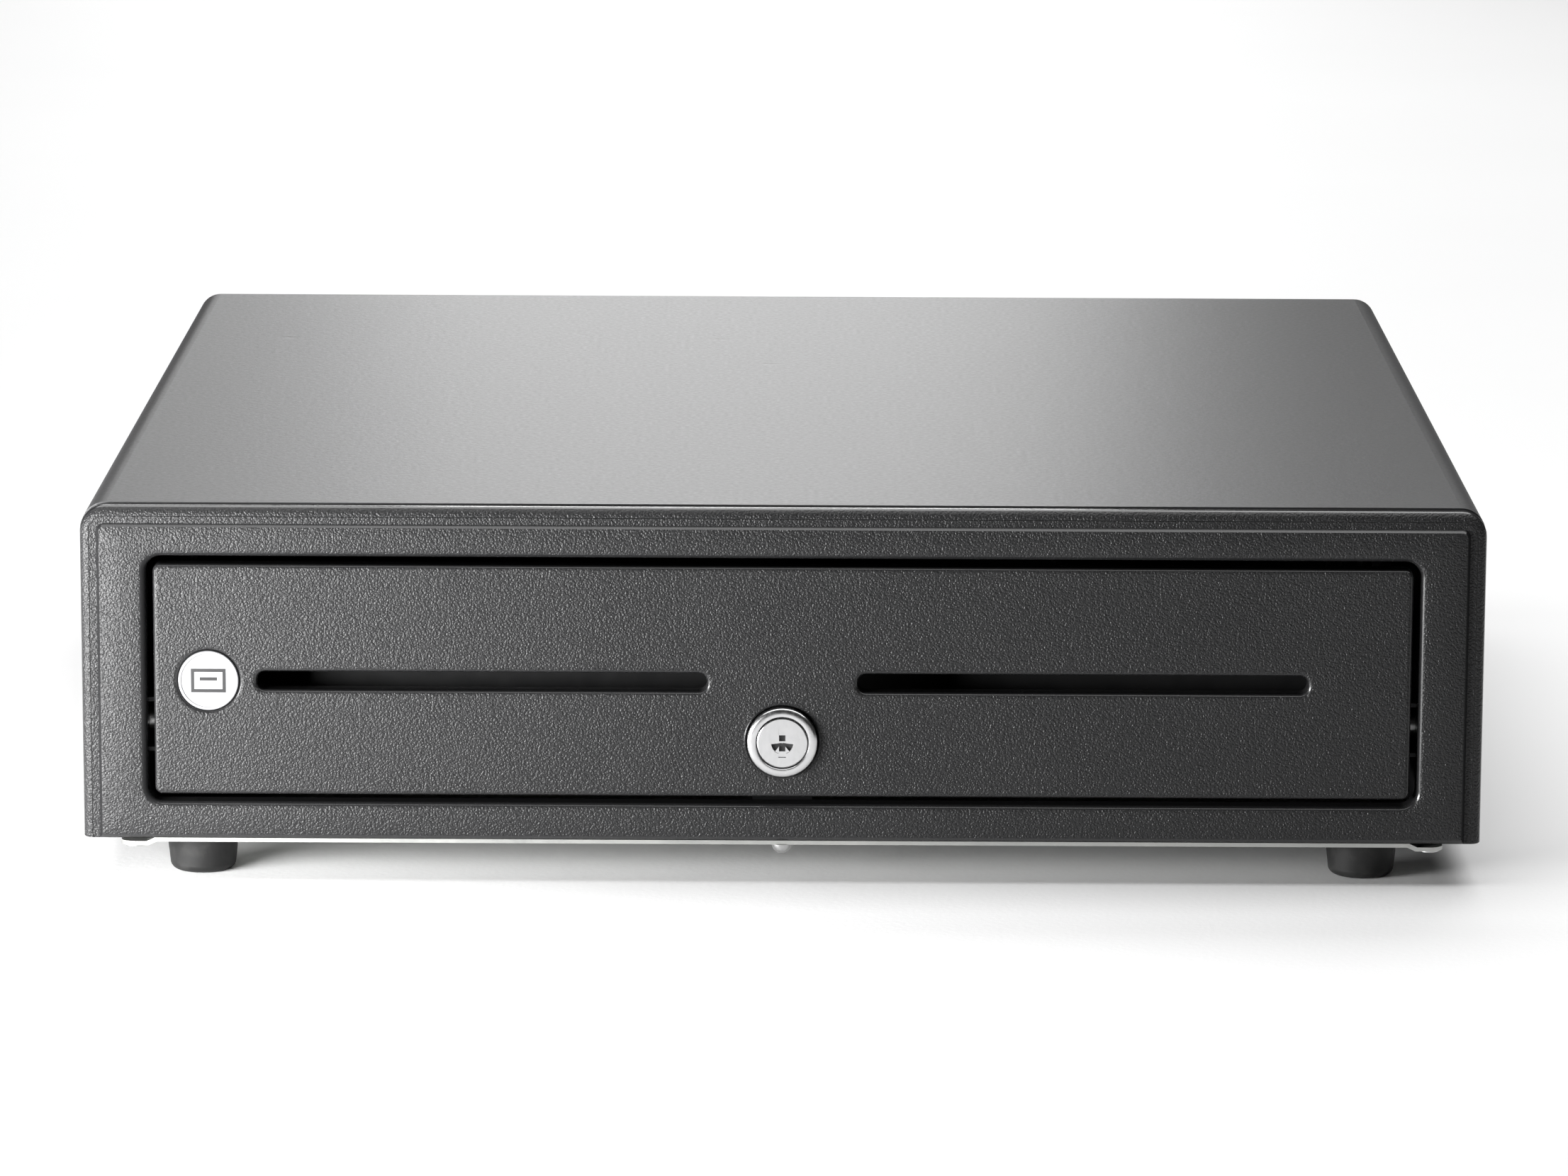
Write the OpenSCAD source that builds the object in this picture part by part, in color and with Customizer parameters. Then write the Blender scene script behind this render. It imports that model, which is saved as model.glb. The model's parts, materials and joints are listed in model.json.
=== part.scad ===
// Cash drawer: a steel housing with a moulded front bezel, a roller-guided drawer with a
// lift-out till, a three-position key lock, and a solenoid latch at the back.
// Millimetres. X is the width, the front faces -Y, Z = 0 is the surface the feet stand on.

/* [Housing] */
// Overall width
overall_w = 418; // [400:1:440]
// Overall depth, from the lock's face to the back
overall_d = 420; // [410:1:440]
// Overall height, feet included
overall_h = 114; // [112:1:120]
// Height of the bezel's lower edge above the table
body_z = 13; // [12:0.5:15]
// Thickness of the cover's steel sheet
sheet_t = 1; // [0.8:0.1:1.2]
// Outer radius of the cover's two top bends
cover_bend_r = 7.5; // [6:0.5:9]
// Thickness of the base pan's sheet
pan_t = 1.2; // [1:0.1:1.4]
// Radius of a foot at the pan
foot_top_r = 10.9; // [9:0.1:12]
// Radius of a foot at the table
foot_base_r = 9.9; // [8.5:0.1:11]
// Sideways distance of a foot from the middle
foot_x = 174.7; // [165:0.1:176]

/* [Bezel] */
// Front-to-back thickness of the bezel
bezel_t = 7.5; // [6.5:0.5:8]
// Width of the opening for the drawer
opening_w = 379; // [376:1:381]
// Height of the opening's lower edge
opening_z0 = 24.2; // [23:0.1:25]
// Height of the opening's upper edge
opening_z1 = 98.9; // [98:0.1:101]
// Corner radius of the opening
opening_r = 4.75; // [3:0.25:6]
// Width of the raised front face of the bezel
plateau_w = 405.2; // [400:0.2:410]
// Height of the raised face's upper edge
plateau_z1 = 108; // [106:0.5:110]
// How far the raised face stands out from the ledge round it
plateau_step = 1.2; // [0.8:0.1:1.6]

/* [Drawer] */
// Gap between the drawer front and the opening, at each side
front_gap = 2.2; // [1.8:0.1:2.8]
// Wall thickness of the moulded drawer front
front_t = 3.5; // [3:0.1:4]
// Width of each media slot
slot_w = 134; // [120:1:140]
// Height of each media slot
slot_h = 5.6; // [5:0.1:6]
// Sideways distance of a slot's middle from the drawer's middle
slot_x = 89.5; // [88:0.5:95]
// Height of the slots' middle
slot_z = 61.3; // [58:0.1:66]
// Outer width of the steel drawer box
box_w = 352; // [350:1:352]
// Depth of the steel drawer box
box_d = 359.5; // [355:0.5:360]
// How far the drawer opens
travel = 290; // [250:5:290]

/* [Lock] */
// Radius of the lock's head
lock_head_r = 10.5; // [9.5:0.1:11]
// How far the lock's head stands out from the drawer front
lock_proud = 2.5; // [2:0.1:3]
// Height of the lock's middle
lock_z = 43.6; // [42:0.1:45]
// Length of the cam behind the lock
cam_len = 21; // [20:0.5:22]

/* [Badge] */
// Radius of the round badge
badge_r = 9; // [7:0.5:9.5]
// Sideways place of the badge's middle
badge_x = -171; // [-172:0.5:-168]

/* [Till] */
// Number of note bays
note_bays = 5; // [5:1:5]
// Columns of coin cups, in two rows
coin_columns = 4; // [4:1:4]
// Wall thickness of the moulded till
till_t = 2.2; // [1.8:0.1:2.4]
// Length of a note clip's arm
clip_len = 74; // [70:1:76]

/* [Slides] */
// Radius of a slide roller
roller_r = 6.85; // [6.5:0.05:6.9]
// Clear height inside a slide rail
rail_gap = 14; // [14:0.1:14.4]
// Thickness of a rail's sheet
rail_t = 1.2; // [1:0.1:1.2]
// Height of the rollers' axles
rail_z = 46.2; // [45:0.1:47]

/* [Hidden] */
$fn = 64;

half_w = overall_w / 2;
y_front = -overall_d / 2;
y_back = overall_d / 2;
y_face = y_front + lock_proud;      // raised bezel face and drawer front
y_bezel = y_face + bezel_t;         // back of the bezel, where the cover starts
pan_z = body_z - pan_t;             // underside of the pan
bend_r = 2;                         // small sheet-metal bend
fit = 0.05;                         // radial running clearance of a pin in its hole
snug = 0.1;                         // gap round a piece pressed or clipped into a hole
loose = 0.2;                        // gap between pieces that only sit side by side
lap = 0.1;                          // overlap that joins two lumps of one piece
past = 1;                           // how far a cutter runs past the face it cuts

// Cover flanges and the pan's joggled tabs
pan_half = 187.4;
pan_y1 = y_back - 0.5;
joggle = [pan_half + 0.2, pan_half + 2.8];  // where a tab's step down starts and ends
flange_x = joggle[1];               // inner edge of the cover's flange, which lies on the tabs
tab_x = 198;
tab_drop = 1.2;
tab_w = 18;
tab_ys = [y_face + 10.5, -5, y_back - 40];
tab_screw_x = 194.5;

// Feet and fasteners
foot_ys = [-189, 180];
foot_edge_r = 2.5;
foot_bore_r = 2.3;
foot_sink_r = 4.6;
foot_sink_z = 5;
m4_r = 2;
m3_r = 1.5;
bezel_screw_xs = [0];
bezel_screw_y = y_face + bezel_t / 2;
bezel_screw_len = 7.5;              // above the pan
mount_x = 140;
mount_y = 120;
mount_hole_r = 2.6;

// Rear panel, and the port in it
rear_y = y_back - 3;                // inner face of the rear panel
rear_flange = 17;
rear_flange_z = [body_z + 8, overall_h - 10];
rear_flange_half = pan_half - 8;
cover_screw_zs = [40, 90];
cover_screw_y = rear_y - 8;
cover_screw_len = 6;
cover_head_r = 3;
port_x = 110;
port_z = 46;
port_w = 18;
port_h = 16;
port_depth = 17;
port_y0 = y_back - port_depth;
socket_w = 12;
socket_h = 8;
socket_y0 = port_y0 + 4;            // the socket's blind end

// Slides: two channels face each other, and each one's roller runs in the other
rail_half = rail_gap / 2 + rail_t;
house_web_x = 190;                  // inner face of the housing rail's web
house_lip_x = 184.5;
drawer_web_x = box_w / 2;           // where the drawer's rail is fixed
drawer_lip_x = 183.5;
rail_y0 = y_bezel + 1;
rail_y1 = 190;
support_y0 = -186;
support_y1 = 188;
front_roller_y = -190;
rear_roller_y = 145;
stop_gap = 0.45;
front_roller_x = [178.1, 183.1];
rear_roller_x = [184.9, 188.9];
axle_r = 2;
collar_r = 3.5;
collar_gap = 0.2;                   // between a roller and its collar
washer_r = 3;
washer_t = 0.4;
end_play = 0.1;                     // between a roller and its washer

// Drawer front and drawer box
front_half = opening_w / 2 - front_gap;
front_z0 = opening_z0 + 2.4;
front_z1 = opening_z1 - 2.4;
box_y0 = y_face + 8;                // front wall of the steel box, behind the moulded front
box_y1 = box_y0 + box_d;
box_z0 = 29;
box_side_z = 92;
box_rear_z = 74;
skirt_t = 2.5;
slot_r = 2.4;
slot_sleeve = 2;                    // wall of the moulded sleeve behind each slot
slot_margin = 1;                    // the box's slots are this much larger all round
front_screw_xs = [-165, -60, 60, 165];
front_screw_zs = [36, 88];
front_screw_len = 4.5;
badge_t = 1.2;

// Lock
barrel_r = 9;
recess_r = 11.3;
recess_depth = 2;
plug_r = 6.5;
plug_face_r = 7.6;
plug_ring_r = 7.9;
plug_seat = 2;                      // depth of the ring the plug's face sits in
barrel_y1 = y_face + 19.5;
cam_y0 = y_face + 23.5;
cam_t = 2.5;
cam_w = 10;
cam_screw_len = 5;
cam_slot_half = 20;
cam_slot_gap = 2;

// Till
till_half = 172.5;
till_y0 = box_y0 + 23.5;
till_y1 = box_y1 - 3;
till_z0 = 44;
till_z1 = 88;
till_floor = 2;
ledge_w = 10;
coin_y1 = -41;                      // front face of the wall between coins and notes
bay_y0 = coin_y1 + till_t;
bay_y1 = till_y1 - till_t;
bay_half = till_half - till_t;
divider_t = 2;
divider_z1 = 84;
bay_w = (2 * bay_half - (note_bays - 1) * divider_t) / note_bays;
bay_pitch = bay_w + divider_t;
cup_wall = 1.8;
cup_r = 42;                         // scoop radius of a cup's floor
cup_z0 = till_z0 + till_floor + cup_wall + 0.05;
coin_z1 = 84;
coin_half = bay_half - loose;
coin_y0 = till_y0 + till_t + loose;
cup_w = (2 * coin_half - (coin_columns + 1) * cup_wall) / coin_columns;
cup_len = (coin_y1 - loose - coin_y0 - 3 * cup_wall) / 2;

// Note clips, lying on the empty bays' floors
rod_y = bay_y1 - 9;
rod_z = 78;
rod_r = 2;
rod_half = till_half - 0.8;
clip_hub_r = 4.5;
clip_hub_w = 26;
clip_w = 22;
clip_t = 2.4;
paddle_len = 22;
paddle_w = 40;
paddle_rest_z = till_z0 + till_floor + 0.3;
clip_drop = asin((rod_z - paddle_rest_z - clip_t / 2) / clip_len);

// Latch at the back, drawn released
pin_x = 20;
pin_y = 200;
lever_z = [44, 47];
released = 14;                      // degrees from hooked to released
pivot_r = 3;
shelf_z = 34;
shelf_t = 1.5;
shelf_x = [-60, 80];
shelf_y = [171, 205];
striker_y = 184;
striker_r = 2.5;
pull_y = 186;
pull_z = (lever_z[0] + lever_z[1]) / 2;
pull_x = 29.94;                     // the plunger's cross pin when released
plunger_r = 4;
plunger_gap = 0.3;
coil_x = [38, 66];
frame_half_y = 10;
frame_half_z = 10;
frame_t = 1.5;

// Drawer switch and kick spring
switch_x = [-52, -30];
switch_y = [168, 180];
switch_z = [36.5, 47];
leaf_pin = [switch_x[0] + 2, switch_y[0] - 1];
leaf_pin_r = 0.6;
leaf_z = [39.2, 44.3];
leaf_tilt = -14;
leaf_gap = 0.3;                     // between the leaf and the ears it turns in
kick_x = -80;
kick_z = 50;
kick_r = 6;
kick_wire = 1;
kick_y = [box_y1 + 1.5, 203];
kick_coils = 14;
guide_r = 3;

// Box between two opposite corners
module block(lo, hi) {
    translate(lo) cube(hi - lo);
}

// Rods along each axis
module rod_x(r, x0, x1, y, z) {
    translate([x0, y, z]) rotate([0, 90, 0]) cylinder(r = r, h = x1 - x0);
}
module rod_y(r, y0, y1, x, z) {
    translate([x, y0, z]) rotate([-90, 0, 0]) cylinder(r = r, h = y1 - y0);
}
module rod_z(r, z0, z1, x, y) {
    translate([x, y, z0]) cylinder(r = r, h = z1 - z0);
}

// Child drawn for the right-hand side, mirrored when side is -1
module on_side(side) {
    mirror([side < 0 ? 1 : 0, 0, 0]) children();
}

// Front-view outline pushed from y0 back to y1
module push(y0, y1) {
    rotate([90, 0, 0]) translate([0, 0, -y1]) linear_extrude(y1 - y0) children();
}

// Side-view outline (y, z) pushed from x0 to x1
module push_x(x0, x1) {
    translate([x0, 0, 0]) rotate([90, 0, 90]) linear_extrude(x1 - x0) children();
}

// Upright rectangle with separate radii for its upper and lower corners
module rounded_rect(half, z0, z1, upper_r, lower_r) {
    union() {
        for (s = [-1, 1]) {
            translate([s * (half - upper_r), z1 - upper_r]) circle(r = upper_r);
            translate([s * (half - lower_r), z0 + lower_r]) circle(r = lower_r);
        }
        translate([-half, z0 + lower_r]) square([2 * half, z1 - upper_r - z0 - lower_r]);
        translate([upper_r - half, z0 + lower_r]) square([2 * (half - upper_r), z1 - z0 - lower_r]);
        translate([lower_r - half, z0]) square([2 * (half - lower_r), z1 - upper_r - z0]);
    }
}

// Outline of one media slot, grown by a margin
module slot_outline(margin) {
    translate([slot_x, 0])
        rounded_rect(slot_w / 2 + margin, slot_z - slot_h / 2 - margin,
                     slot_z + slot_h / 2 + margin, slot_r + margin, slot_r + margin);
}

// Both slots
module slots(y0, y1, margin) {
    for (side = [-1, 1])
        on_side(side) push(y0, y1) slot_outline(margin);
}

// Pan-head screw pointing up from z0, where its head bears
module screw_up(x, y, z0, head_r, head_h, shaft_r, shaft_len) {
    rod_z(head_r, z0 - head_h, z0, x, y);
    rod_z(shaft_r, z0 - lap, z0 + shaft_len, x, y);
}

// Coil drawn as a tube with one bulge for each turn, along +Z
module coil(outer_r, wire_d, len, turns) {
    pitch = (len - wire_d) / (turns - 1);
    mid_r = outer_r - wire_d / 2;
    rotate_extrude()
        union() {
            translate([mid_r - wire_d / 5, wire_d / 2]) square([wire_d * 2 / 5, len - wire_d]);
            for (i = [0 : turns - 1])
                translate([mid_r, wire_d / 2 + i * pitch]) circle(d = wire_d, $fn = 24);
        }
}

module cover() {
    color([0.2, 0.2, 0.21])
    difference() {
        push(y_bezel, y_back)
            rounded_rect(half_w, body_z - sheet_t, overall_h, cover_bend_r, bend_r);
        push(y_bezel - past, y_back + past)
            rounded_rect(half_w - sheet_t, body_z, overall_h - sheet_t,
                         cover_bend_r - sheet_t, bend_r - sheet_t);
        block([-flange_x, y_bezel - past, body_z - sheet_t - past],
              [flange_x, y_back + past, body_z + past]);
        for (side = [-1, 1])
            for (z = cover_screw_zs)
                on_side(side)
                    rod_x(cover_head_r + fit, half_w - sheet_t - past, half_w + past, cover_screw_y, z);
        for (side = [-1, 1])
            for (y = tab_ys)
                on_side(side)
                    rod_z(m3_r + fit, body_z - sheet_t - past, body_z + past, tab_screw_x, y);
    }
}

module rear_panel() {
    panel_half = half_w - sheet_t - loose;
    color([0.2, 0.2, 0.21])
    difference() {
        union() {
            push(rear_y, rear_y + sheet_t)
                rounded_rect(panel_half, body_z + loose, overall_h - sheet_t - loose,
                             cover_bend_r - sheet_t, bend_r);
            for (side = [-1, 1])
                on_side(side)
                    block([panel_half - sheet_t, rear_y - rear_flange, rear_flange_z[0]],
                          [panel_half, rear_y + sheet_t / 2, rear_flange_z[1]]);
            block([-rear_flange_half, rear_y - rear_flange, body_z],
                  [rear_flange_half, rear_y + sheet_t / 2, body_z + sheet_t]);
        }
        block([port_x - port_w / 2 - snug, rear_y - past, port_z - port_h / 2 - snug],
              [port_x + port_w / 2 + snug, y_back, port_z + port_h / 2 + snug]);
        rod_y(guide_r + fit, rear_y - past, y_back, kick_x, kick_z);
        for (side = [-1, 1])
            for (z = cover_screw_zs)
                on_side(side)
                    rod_x(m3_r + fit, half_w - cover_screw_len, half_w, cover_screw_y, z);
    }
}

// One joggled tab of the pan, in front view
module tab_outline() {
    root = pan_half - past;
    skew = 0.6;                     // the lower bends are this far inboard of the upper ones
    polygon([
        [root, body_z], [joggle[0], body_z], [joggle[1], body_z - tab_drop],
        [tab_x, body_z - tab_drop], [tab_x, pan_z - tab_drop], [joggle[1] - skew, pan_z - tab_drop],
        [joggle[0] - skew, pan_z], [root, pan_z]
    ]);
}

// Space in which a tab's two outer corners are round, seen from above
module tab_plan(y) {
    corner = 4;
    block([pan_half - 2 * past, y - tab_w / 2, pan_z - tab_drop - past],
          [tab_x - corner, y + tab_w / 2, body_z + past]);
    block([tab_x - 2 * corner, y - tab_w / 2 + corner, pan_z - tab_drop - past],
          [tab_x, y + tab_w / 2 - corner, body_z + past]);
    for (s = [-1, 1])
        rod_z(corner, pan_z - tab_drop - past, body_z + past,
              tab_x - corner, y + s * (tab_w / 2 - corner));
}

module base_pan() {
    color([0.82, 0.82, 0.8])
    difference() {
        union() {
            block([-pan_half, y_face + plateau_step, pan_z], [pan_half, pan_y1, body_z]);
            for (side = [-1, 1])
                for (y = tab_ys)
                    on_side(side)
                        intersection() {
                            push(y - tab_w / 2, y + tab_w / 2) tab_outline();
                            tab_plan(y);
                        }
        }
        for (x = [-foot_x, foot_x])
            for (y = foot_ys)
                rod_z(m4_r + fit, pan_z - past, body_z + past, x, y);
        for (x = bezel_screw_xs)
            rod_z(m3_r + fit, pan_z - past, body_z + past, x, bezel_screw_y);
        for (x = [-tab_screw_x, tab_screw_x])
            for (y = tab_ys)
                rod_z(m3_r + fit, pan_z - tab_drop - past, body_z + past, x, y);
        for (x = [-mount_x, mount_x])
            for (y = [-mount_y, mount_y])
                rod_z(mount_hole_r, pan_z - past, body_z + past, x, y);
    }
}

module front_bezel() {
    edge = 1.1;                     // step that stands for the rounded outer edge
    bottom_r = 0.6;
    plateau_r = 2;
    plateau_lift = 0.4;             // from the bezel's lower edge
    tongue = 6;                     // reach of the rim that plugs into the cover
    tongue_t = 2;
    inner_half = half_w - sheet_t - loose;
    inner_z1 = overall_h - sheet_t - loose;
    color([0.16, 0.16, 0.17])
    difference() {
        union() {
            push(y_face + plateau_step + edge, y_bezel)
                rounded_rect(half_w, body_z, overall_h, cover_bend_r, bottom_r);
            push(y_face + plateau_step, y_bezel)
                rounded_rect(half_w - edge, body_z, overall_h - edge, cover_bend_r - edge, bottom_r);
            push(y_face, y_bezel)
                rounded_rect(plateau_w / 2, body_z + plateau_lift, plateau_z1, plateau_r, bottom_r);
            push(y_bezel - past, y_bezel + tongue)
                difference() {
                    rounded_rect(inner_half, body_z + loose, inner_z1, cover_bend_r - sheet_t, bottom_r);
                    rounded_rect(inner_half - tongue_t, body_z - past, inner_z1 - tongue_t,
                                 cover_bend_r - sheet_t - tongue_t, bottom_r);
                }
        }
        push(y_face - past, y_bezel + past)
            rounded_rect(opening_w / 2, opening_z0, opening_z1, opening_r, opening_r);
        for (x = bezel_screw_xs)
            rod_z(m3_r + fit, body_z - past, body_z + bezel_screw_len + past, x, bezel_screw_y);
    }
}

// Bracket that stands on the pan and carries a housing rail
module rail_support(side) {
    web = house_web_x + rail_t;
    rise = 4;                       // above the rail
    foot = 11;
    foot_set_back = 10;
    color([0.25, 0.25, 0.26])
    on_side(side)
    union() {
        block([web, support_y0, body_z], [web + rail_t, support_y1, rail_z + rail_half + rise]);
        block([web - foot, support_y0 + foot_set_back, body_z],
              [web + rail_t, support_y1, body_z + rail_t]);
    }
}

module rail_support_left() {
    rail_support(-1);
}

module rail_support_right() {
    rail_support(1);
}

module slide_rail(side) {
    stop_y = rear_roller_y - travel - roller_r - stop_gap;
    stop_inset = 0.5;
    color([0.25, 0.25, 0.26])
    on_side(side)
    difference() {
        union() {
            block([house_web_x, rail_y0, rail_z - rail_half],
                  [house_web_x + rail_t, rail_y1, rail_z + rail_half]);
            for (z = [rail_z - rail_half, rail_z + rail_gap / 2])
                block([house_lip_x, rail_y0, z], [house_web_x + lap, rail_y1, z + rail_t]);
            block([house_lip_x + stop_inset, stop_y - rail_t, rail_z - rail_gap / 2 - lap],
                  [house_web_x + lap, stop_y, rail_z + rail_gap / 2 + lap]);
        }
        rod_x(axle_r + fit, house_web_x - past, house_web_x + rail_t + past, front_roller_y, rail_z);
    }
}

module slide_rail_left() {
    slide_rail(-1);
}

module slide_rail_right() {
    slide_rail(1);
}

module front_axles() {
    color("silver")
    for (side = [-1, 1])
        on_side(side) {
            rod_x(axle_r, front_roller_x[0] - end_play - washer_t, house_web_x + rail_t,
                  front_roller_y, rail_z);
            rod_x(collar_r, front_roller_x[1] + collar_gap, house_web_x, front_roller_y, rail_z);
            rod_x(washer_r, front_roller_x[0] - end_play - washer_t, front_roller_x[0] - end_play,
                  front_roller_y, rail_z);
        }
}

module rear_axles() {
    color("silver")
    for (side = [-1, 1])
        on_side(side) {
            rod_x(axle_r, drawer_web_x, rear_roller_x[1] + end_play + washer_t,
                  rear_roller_y, rail_z);
            rod_x(collar_r, drawer_web_x + rail_t, rear_roller_x[0] - collar_gap,
                  rear_roller_y, rail_z);
            rod_x(washer_r, rear_roller_x[1] + end_play, rear_roller_x[1] + end_play + washer_t,
                  rear_roller_y, rail_z);
        }
}

// Nylon roller with a shallow groove, on its axle
module roller(side, xs, y) {
    width = xs[1] - xs[0];
    groove_r = 0.9;
    groove_depth = 0.4;
    color([0.1, 0.1, 0.1])
    on_side(side)
    translate([xs[0], y, rail_z]) rotate([0, 90, 0])
        rotate_extrude()
            difference() {
                translate([axle_r + fit, 0]) square([roller_r - axle_r - fit, width]);
                translate([roller_r + groove_r - groove_depth, width / 2])
                    circle(r = groove_r, $fn = 32);
            }
}

module front_roller_left() {
    roller(-1, front_roller_x, front_roller_y);
}

module front_roller_right() {
    roller(1, front_roller_x, front_roller_y);
}

module rear_roller_left() {
    roller(-1, rear_roller_x, rear_roller_y);
}

module rear_roller_right() {
    roller(1, rear_roller_x, rear_roller_y);
}

// Upright that the lock's cam turns down behind
module lock_strike() {
    gap = 1;                        // between the upright and the cam
    strike_y = cam_y0 - gap;
    half = 9;
    under_box = 1.5;
    foot = 14;
    color([0.25, 0.25, 0.26])
    union() {
        block([-half, strike_y - rail_t, body_z], [half, strike_y, box_z0 - under_box]);
        block([-half, strike_y - rail_t, body_z], [half, strike_y + foot, body_z + rail_t]);
    }
}

// Shelf on two legs; the legs end ahead of the rear panel's flange
module latch_bracket() {
    foot = 12;
    gap = 0.5;
    leg_y1 = rear_y - rear_flange - gap;
    color([0.75, 0.75, 0.74])
    difference() {
        union() {
            block([shelf_x[0], shelf_y[0], shelf_z], [shelf_x[1], shelf_y[1], shelf_z + shelf_t]);
            for (x = [shelf_x[0], shelf_x[1] - shelf_t])
                block([x, shelf_y[0], body_z], [x + shelf_t, leg_y1, shelf_z + lap]);
            for (x = [shelf_x[0] - foot, shelf_x[1] - shelf_t])
                block([x, shelf_y[0], body_z], [x + foot + shelf_t, leg_y1, body_z + shelf_t]);
        }
        rod_z(pivot_r + fit, shelf_z - past, shelf_z + shelf_t + past, pin_x, pin_y);
    }
}

module latch_pin() {
    shoulder_r = 5;
    clip_r = 4.6;
    clip_thick = 0.8;
    over = 2;                       // pin beyond the lever
    under = 0.5;                    // and below the shelf's top
    color("silver")
    union() {
        rod_z(pivot_r, shelf_z - under, lever_z[1] + over, pin_x, pin_y);
        rod_z(shoulder_r, shelf_z + shelf_t, lever_z[0] - loose, pin_x, pin_y);
        rod_z(clip_r, lever_z[1] + loose, lever_z[1] + loose + clip_thick, pin_x, pin_y);
    }
}

// Hooked lever, turned from its hooked place to its released one
module latch_lever() {
    hub_r = 6.4;
    arm_w = 8;
    arm_len = 24;
    hook_x = -22;                   // tip of the hook
    hook_w = 4.5;
    ear = [9.2, 7];                 // lug with the slot for the plunger's pin
    ear_y = -18.5;
    slot_x = 6.5;
    slot_ys = [-16.4, -13.6];
    slot_r = 1.7;
    color([0.6, 0.6, 0.58])
    translate([pin_x, pin_y, lever_z[0]]) rotate([0, 0, released])
        linear_extrude(lever_z[1] - lever_z[0])
            difference() {
                union() {
                    circle(r = hub_r);
                    translate([-arm_w / 2, -arm_len]) square([arm_w, arm_len]);
                    translate([hook_x, -arm_len]) square([arm_w / 2 - hook_x, hook_w]);
                    translate([0, ear_y]) square(ear);
                }
                circle(r = pivot_r + fit);
                translate([slot_x - slot_r, slot_ys[0]])
                    square([2 * slot_r, slot_ys[1] - slot_ys[0]]);
                for (y = slot_ys)
                    translate([slot_x, y]) circle(r = slot_r);
            }
}

module latch_spring() {
    outer_r = 7;
    wire = 1.2;
    len = 7.8;
    turns = 6;
    gap = 0.5;
    color("silver")
    translate([pin_x, pin_y, shelf_z + shelf_t + gap]) coil(outer_r, wire, len, turns);
}

module solenoid_frame() {
    z0 = shelf_z + shelf_t;
    z1 = pull_z + frame_half_z;
    floor_t = 0.9;
    color([0.55, 0.55, 0.54])
    difference() {
        union() {
            block([coil_x[0], pull_y - frame_half_y, z0],
                  [coil_x[1], pull_y + frame_half_y, z0 + floor_t]);
            for (x = [coil_x[0], coil_x[1] - frame_t])
                block([x, pull_y - frame_half_y, z0], [x + frame_t, pull_y + frame_half_y, z1]);
        }
        rod_x(plunger_r + plunger_gap, coil_x[0] - past, coil_x[0] + frame_t + past, pull_y, pull_z);
    }
}

module solenoid_coil() {
    x0 = coil_x[0] + frame_t + snug;
    x1 = coil_x[1] - frame_t - snug;
    winding_r = 7.6;
    cheek_r = 8.9;
    cheek_t = 1.2;
    end_wall = 2;
    color([0.65, 0.35, 0.15])
    difference() {
        union() {
            rod_x(winding_r, x0, x1, pull_y, pull_z);
            rod_x(cheek_r, x0, x0 + cheek_t, pull_y, pull_z);
            rod_x(cheek_r, x1 - cheek_t, x1, pull_y, pull_z);
        }
        rod_x(plunger_r + plunger_gap, x0 - past, x1 - end_wall, pull_y, pull_z);
    }
}

// Plunger with a fork over the lever and a cross pin in the lever's slot
module solenoid_plunger() {
    cheek_t = 1.5;
    cheek_gap = 0.3;
    cheek_half = 3;
    throat = 4.5;                   // from the cross pin to the plunger's round end
    stroke_room = 6;
    cross_r = 1.2;
    color("silver")
    union() {
        rod_x(plunger_r, pull_x + throat, coil_x[1] - stroke_room, pull_y, pull_z);
        for (z = [lever_z[0] - cheek_gap - cheek_t, lever_z[1] + cheek_gap])
            block([pull_x - cheek_half, pull_y - cheek_half, z],
                  [pull_x + 2 * cheek_half, pull_y + cheek_half, z + cheek_t]);
        rod_z(cross_r, lever_z[0] - cheek_gap - cheek_t, lever_z[1] + cheek_gap + cheek_t,
              pull_x, pull_y);
    }
}

module kick_spring() {
    color("silver")
    translate([kick_x, kick_y[0], kick_z]) rotate([-90, 0, 0])
        coil(kick_r, kick_wire, kick_y[1] - kick_y[0], kick_coils);
}

module spring_guide() {
    seat_r = 8.5;
    clear_of_box = 12;
    color([0.3, 0.3, 0.3])
    union() {
        rod_y(guide_r, box_y1 + clear_of_box, rear_y + sheet_t, kick_x, kick_z);
        rod_y(seat_r, kick_y[1], rear_y, kick_x, kick_z);
    }
}

module switch_body() {
    inset = [3, 2];
    ear_w = 4;
    ear_reach = 1.2;                // ear beyond the pin's middle
    pin_inset = 1;
    color([0.12, 0.12, 0.12])
    union() {
        block([switch_x[0], switch_y[0], switch_z[0]], [switch_x[1], switch_y[1], switch_z[1]]);
        block([switch_x[0] + inset[0], switch_y[0] + inset[1], shelf_z + shelf_t],
              [switch_x[1] - inset[0], switch_y[1] - inset[1], switch_z[0] + lap]);
        for (z = [[switch_z[0], leaf_z[0] - leaf_gap], [leaf_z[1] + leaf_gap, switch_z[1]]])
            block([switch_x[0], leaf_pin[1] - ear_reach, z[0]],
                  [switch_x[0] + ear_w, switch_y[0] + lap, z[1]]);
        rod_z(leaf_pin_r, switch_z[0] + pin_inset, switch_z[1] - pin_inset, leaf_pin[0], leaf_pin[1]);
    }
}

// Leaf that the back of the drawer presses
module switch_lever() {
    leaf_t = 0.5;
    leaf_len = 19;
    curl_r = 0.9;
    curl_fit = 0.03;
    color("silver")
    translate([leaf_pin[0], leaf_pin[1], leaf_z[0]]) rotate([0, 0, leaf_tilt])
        linear_extrude(leaf_z[1] - leaf_z[0])
            difference() {
                union() {
                    circle(r = curl_r, $fn = 32);
                    translate([0, -curl_r]) square([leaf_len, leaf_t]);
                }
                circle(r = leaf_pin_r + curl_fit, $fn = 32);
            }
}

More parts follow.
